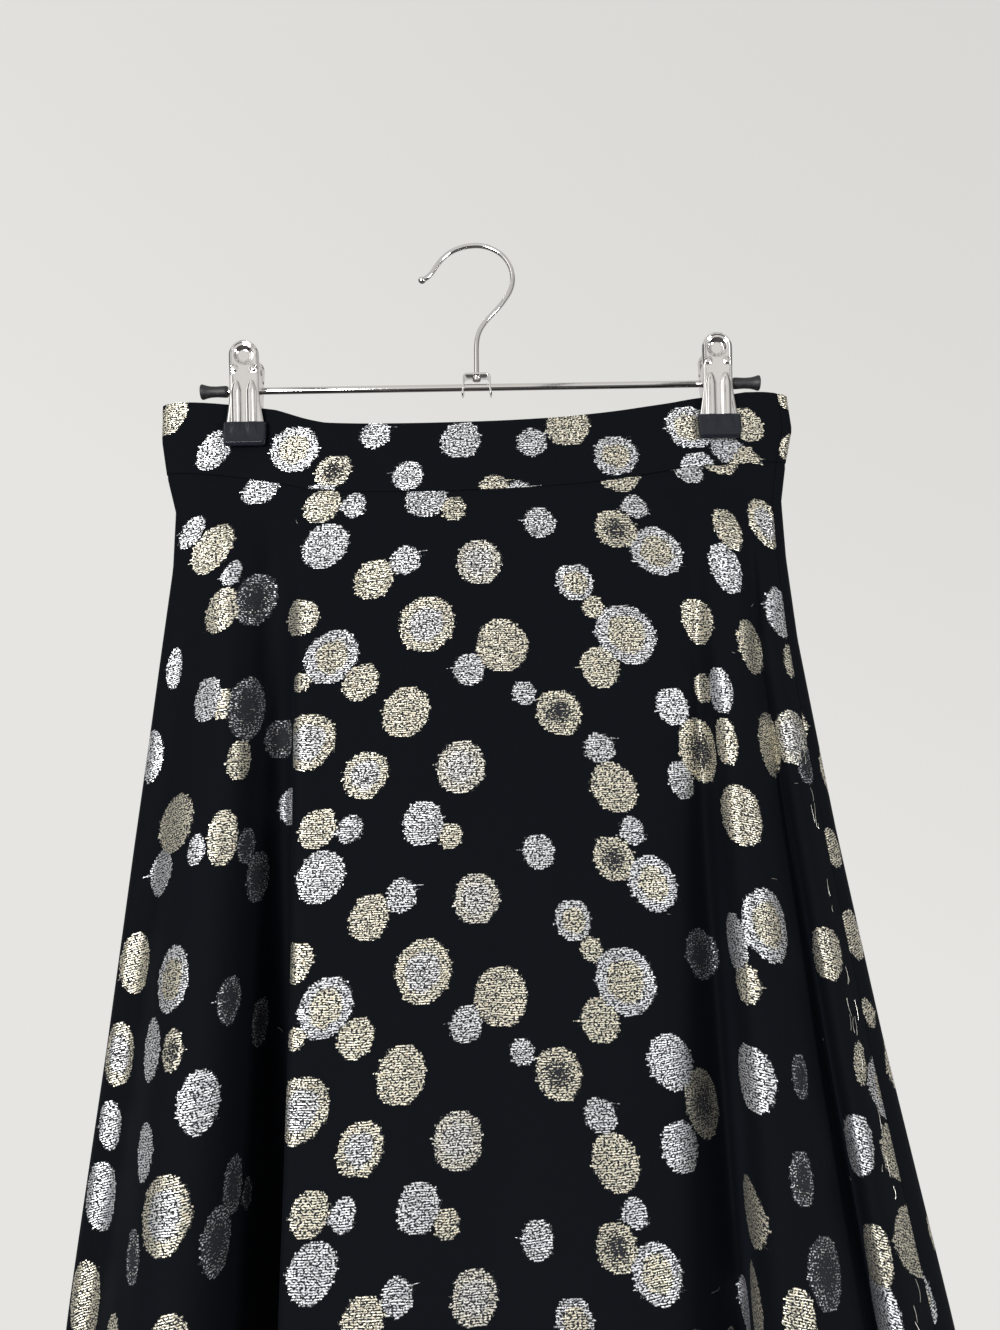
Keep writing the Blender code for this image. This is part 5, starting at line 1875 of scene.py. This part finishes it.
    def spring(self, finishes: Finishes) -> None:
        """The spring wound on the bar, with an arm up inside each plate."""
        first, last = math.radians(60), math.radians(60 + 360 * self.coil_turns + 60)
        length = self.coil_turns * self.coil_pitch
        last_point = self.coil_points - 1
        coil = []
        for k in range(self.coil_points):
            angle = first + (last - first) * k / last_point
            along = self.x - length / 2 + length * k / last_point
            y, rise = self.coil_radius * math.cos(angle), self.coil_radius * math.sin(angle)
            coil.append((along, y, self.bar_z + rise))
        reach, rise = self.arm_end
        points = [(coil[0][0], reach, self.bar_z + rise)] + coil
        points.append((coil[-1][0], -reach, self.bar_z + rise))
        piece = Bench.wire(f"clip_{self.side}_spring_wire", [points], self.spring_wire, 3)
        hand_over(piece, finishes.chrome, HELD, [f"clip_{self.side}_spring"])

    def build(self, finishes: Finishes) -> None:
        """Makes the clip's pieces."""
        for half, way, nest in (("front", -1.0, 0.0), ("back", 1.0, 0.0013)):
            self.plate(half, way, nest, finishes)
            self.grip(half, way, finishes)
        self.spring(finishes)


@dataclass
class Studio:
    """Pale floor, soft light and the camera at the photograph's angle."""

    floor_z: float = -1.10
    floor_radius: float = 1.4
    lens_mm: float = 27.1
    camera_place: tuple[float, float, float] = (0.0105, -0.52, -0.3592)
    camera_tilt: float = 102.0
    camera_roll: float = -0.95
    lit_place: tuple[float, float, float] = (0.0, 0.0, -0.4)
    dark_edges: tuple[tuple[float, float], ...] = (
        (0.36, 0.05), (-0.30, 0.03), (0.66, 0.07), (-0.80, 0.06), (0.12, 0.02)
    )

    def floor(self) -> None:
        """A round pale floor, well under the hem."""
        Bench.clear()
        bpy.ops.mesh.primitive_circle_add(
            vertices=96, radius=self.floor_radius, fill_type="NGON", location=(0.0, 0.0, self.floor_z)
        )
        piece = Bench.settle(Bench.start("pale_floor"))
        shader = Shader("floor_paint", (0.78, 0.78, 0.76), 0.7)
        piece.data.materials.append(shader.material)
        piece.visible_glossy = False

    def light(self, name: str, place: Sequence[float], size: float, power: float) -> None:
        """A square soft light that faces the middle of the shown cloth, its power in watts."""
        lamp = bpy.data.lights.new(name, "AREA")
        lamp.shape = "SQUARE"
        lamp.size = size
        lamp.energy = power
        piece = Bench.add(name, lamp)
        piece.location = place
        sight = Vector(self.lit_place) - Vector(place)
        piece.rotation_euler = sight.to_track_quat("-Z", "Y").to_euler()

    def sky(self) -> None:
        """Pale surroundings; what the object mirrors has a window, a dark floor and a few dark edges."""
        world = bpy.data.worlds.new("pale_room")
        world.use_nodes = True
        bpy.context.scene.world = world
        room = Wiring(world.node_tree)
        heading = room.nodes.new("ShaderNodeTexCoord").outputs["Generated"]
        across, ahead, up = room.split(heading)
        front = room.math("SUBTRACT", 1.0, room.step(ahead, -0.35, 0.05))
        level = room.lerp(room.step(up, -0.42, -0.20), 0.10, 0.80)
        level = room.lerp(room.step(up, 0.25, 0.50), level, 0.66)
        behind = room.lerp(room.step(up, -0.50, -0.20), 0.10, 0.64)
        level = room.lerp(front, behind, level)
        window = room.math("MULTIPLY", room.hump(across, -0.62, 0.10), room.hump(up, 0.30, 0.30))
        level = room.math("MULTIPLY_ADD", room.math("MULTIPLY", window, front), 1.6, level)
        for middle, half in self.dark_edges:
            edge = room.math("MULTIPLY", room.hump(across, middle, half), front)
            level = room.math("MULTIPLY", level, room.math("MULTIPLY_ADD", edge, -0.75, 1.0))
        side = room.step(room.math("ABSOLUTE", across), 0.72, 0.84)
        side = room.math("MULTIPLY", side, room.step(ahead, -0.65, -0.35))
        side = room.math("MULTIPLY", side, room.math("SUBTRACT", 1.0, room.step(ahead, 0.25, 0.5)))
        level = room.math("MULTIPLY", level, room.math("MULTIPLY_ADD", side, -0.72, 1.0))
        mirrored = room.nodes.new("ShaderNodeBackground")
        mirrored.inputs["Color"].default_value = (1.0, 0.985, 0.96, 1.0)
        room.put(mirrored.inputs["Strength"], level)
        wall = room.nodes["Background"]
        shade = room.math("MULTIPLY_ADD", across, -0.10, room.math("MULTIPLY_ADD", up, -0.16, 1.02))
        room.put(wall.inputs["Color"], room.blend(shade, (0.0, 0.0, 0.0, 1.0), (0.790, 0.783, 0.760, 1.0)))
        mix = room.nodes.new("ShaderNodeMixShader")
        seen = room.nodes.new("ShaderNodeLightPath").outputs["Is Camera Ray"]
        for socket, value in zip(mix.inputs, (seen, mirrored.outputs[0], wall.outputs[0])):
            room.put(socket, value)
        room.put(room.nodes["World Output"].inputs[0], mix.outputs[0])
        bpy.context.scene.view_settings.view_transform = "Standard"

    def camera(self) -> None:
        """The camera, close to the hanger and looking up a little."""
        lens = bpy.data.cameras.new("view")
        lens.lens = self.lens_mm
        lens.sensor_width = 36.0
        lens.clip_start = 0.01
        camera = Bench.add("view", lens)
        camera.location = self.camera_place
        camera.rotation_euler = Euler((math.radians(self.camera_tilt), 0.0, 0.0), "XYZ")
        camera.rotation_euler.rotate_axis("Z", math.radians(self.camera_roll))
        bpy.context.scene.camera = camera

    def build(self) -> None:
        """Sets up the scene round the object."""
        self.camera()
        self.floor()
        self.sky()
        self.light("window", (-1.1, -2.3, -0.62), size=0.8, power=69.0)
        self.light("room", (1.7, -1.6, -0.62), size=0.6, power=25.0)


def dress_zip(finishes: Finishes) -> None:
    """Gives the zip's solids, which stand as they are, their finishes."""
    zip_finishes = {"zip_tape": finishes.tape, "zip_slider": finishes.enamel, "zip_pull": finishes.enamel}
    for name, finish in zip_finishes.items():
        materials = bpy.data.objects[name].data.materials
        materials.clear()
        materials.append(finish)


def main() -> None:
    """Builds the object and its setting, in order."""
    logging.basicConfig(level=logging.INFO, format="%(name)s %(message)s")
    random.seed(7)
    Studio().build()
    finishes = Finishes()
    Garment().build(finishes)
    StrayThreads().build(finishes)
    Hanger().build(finishes)
    for side, x, lean in (("left", CLIPS_X[0], 0.026), ("right", CLIPS_X[1], -0.012)):
        Clip(side, x, lean).build(finishes)
    dress_zip(finishes)


if __name__ == "__main__":
    main()
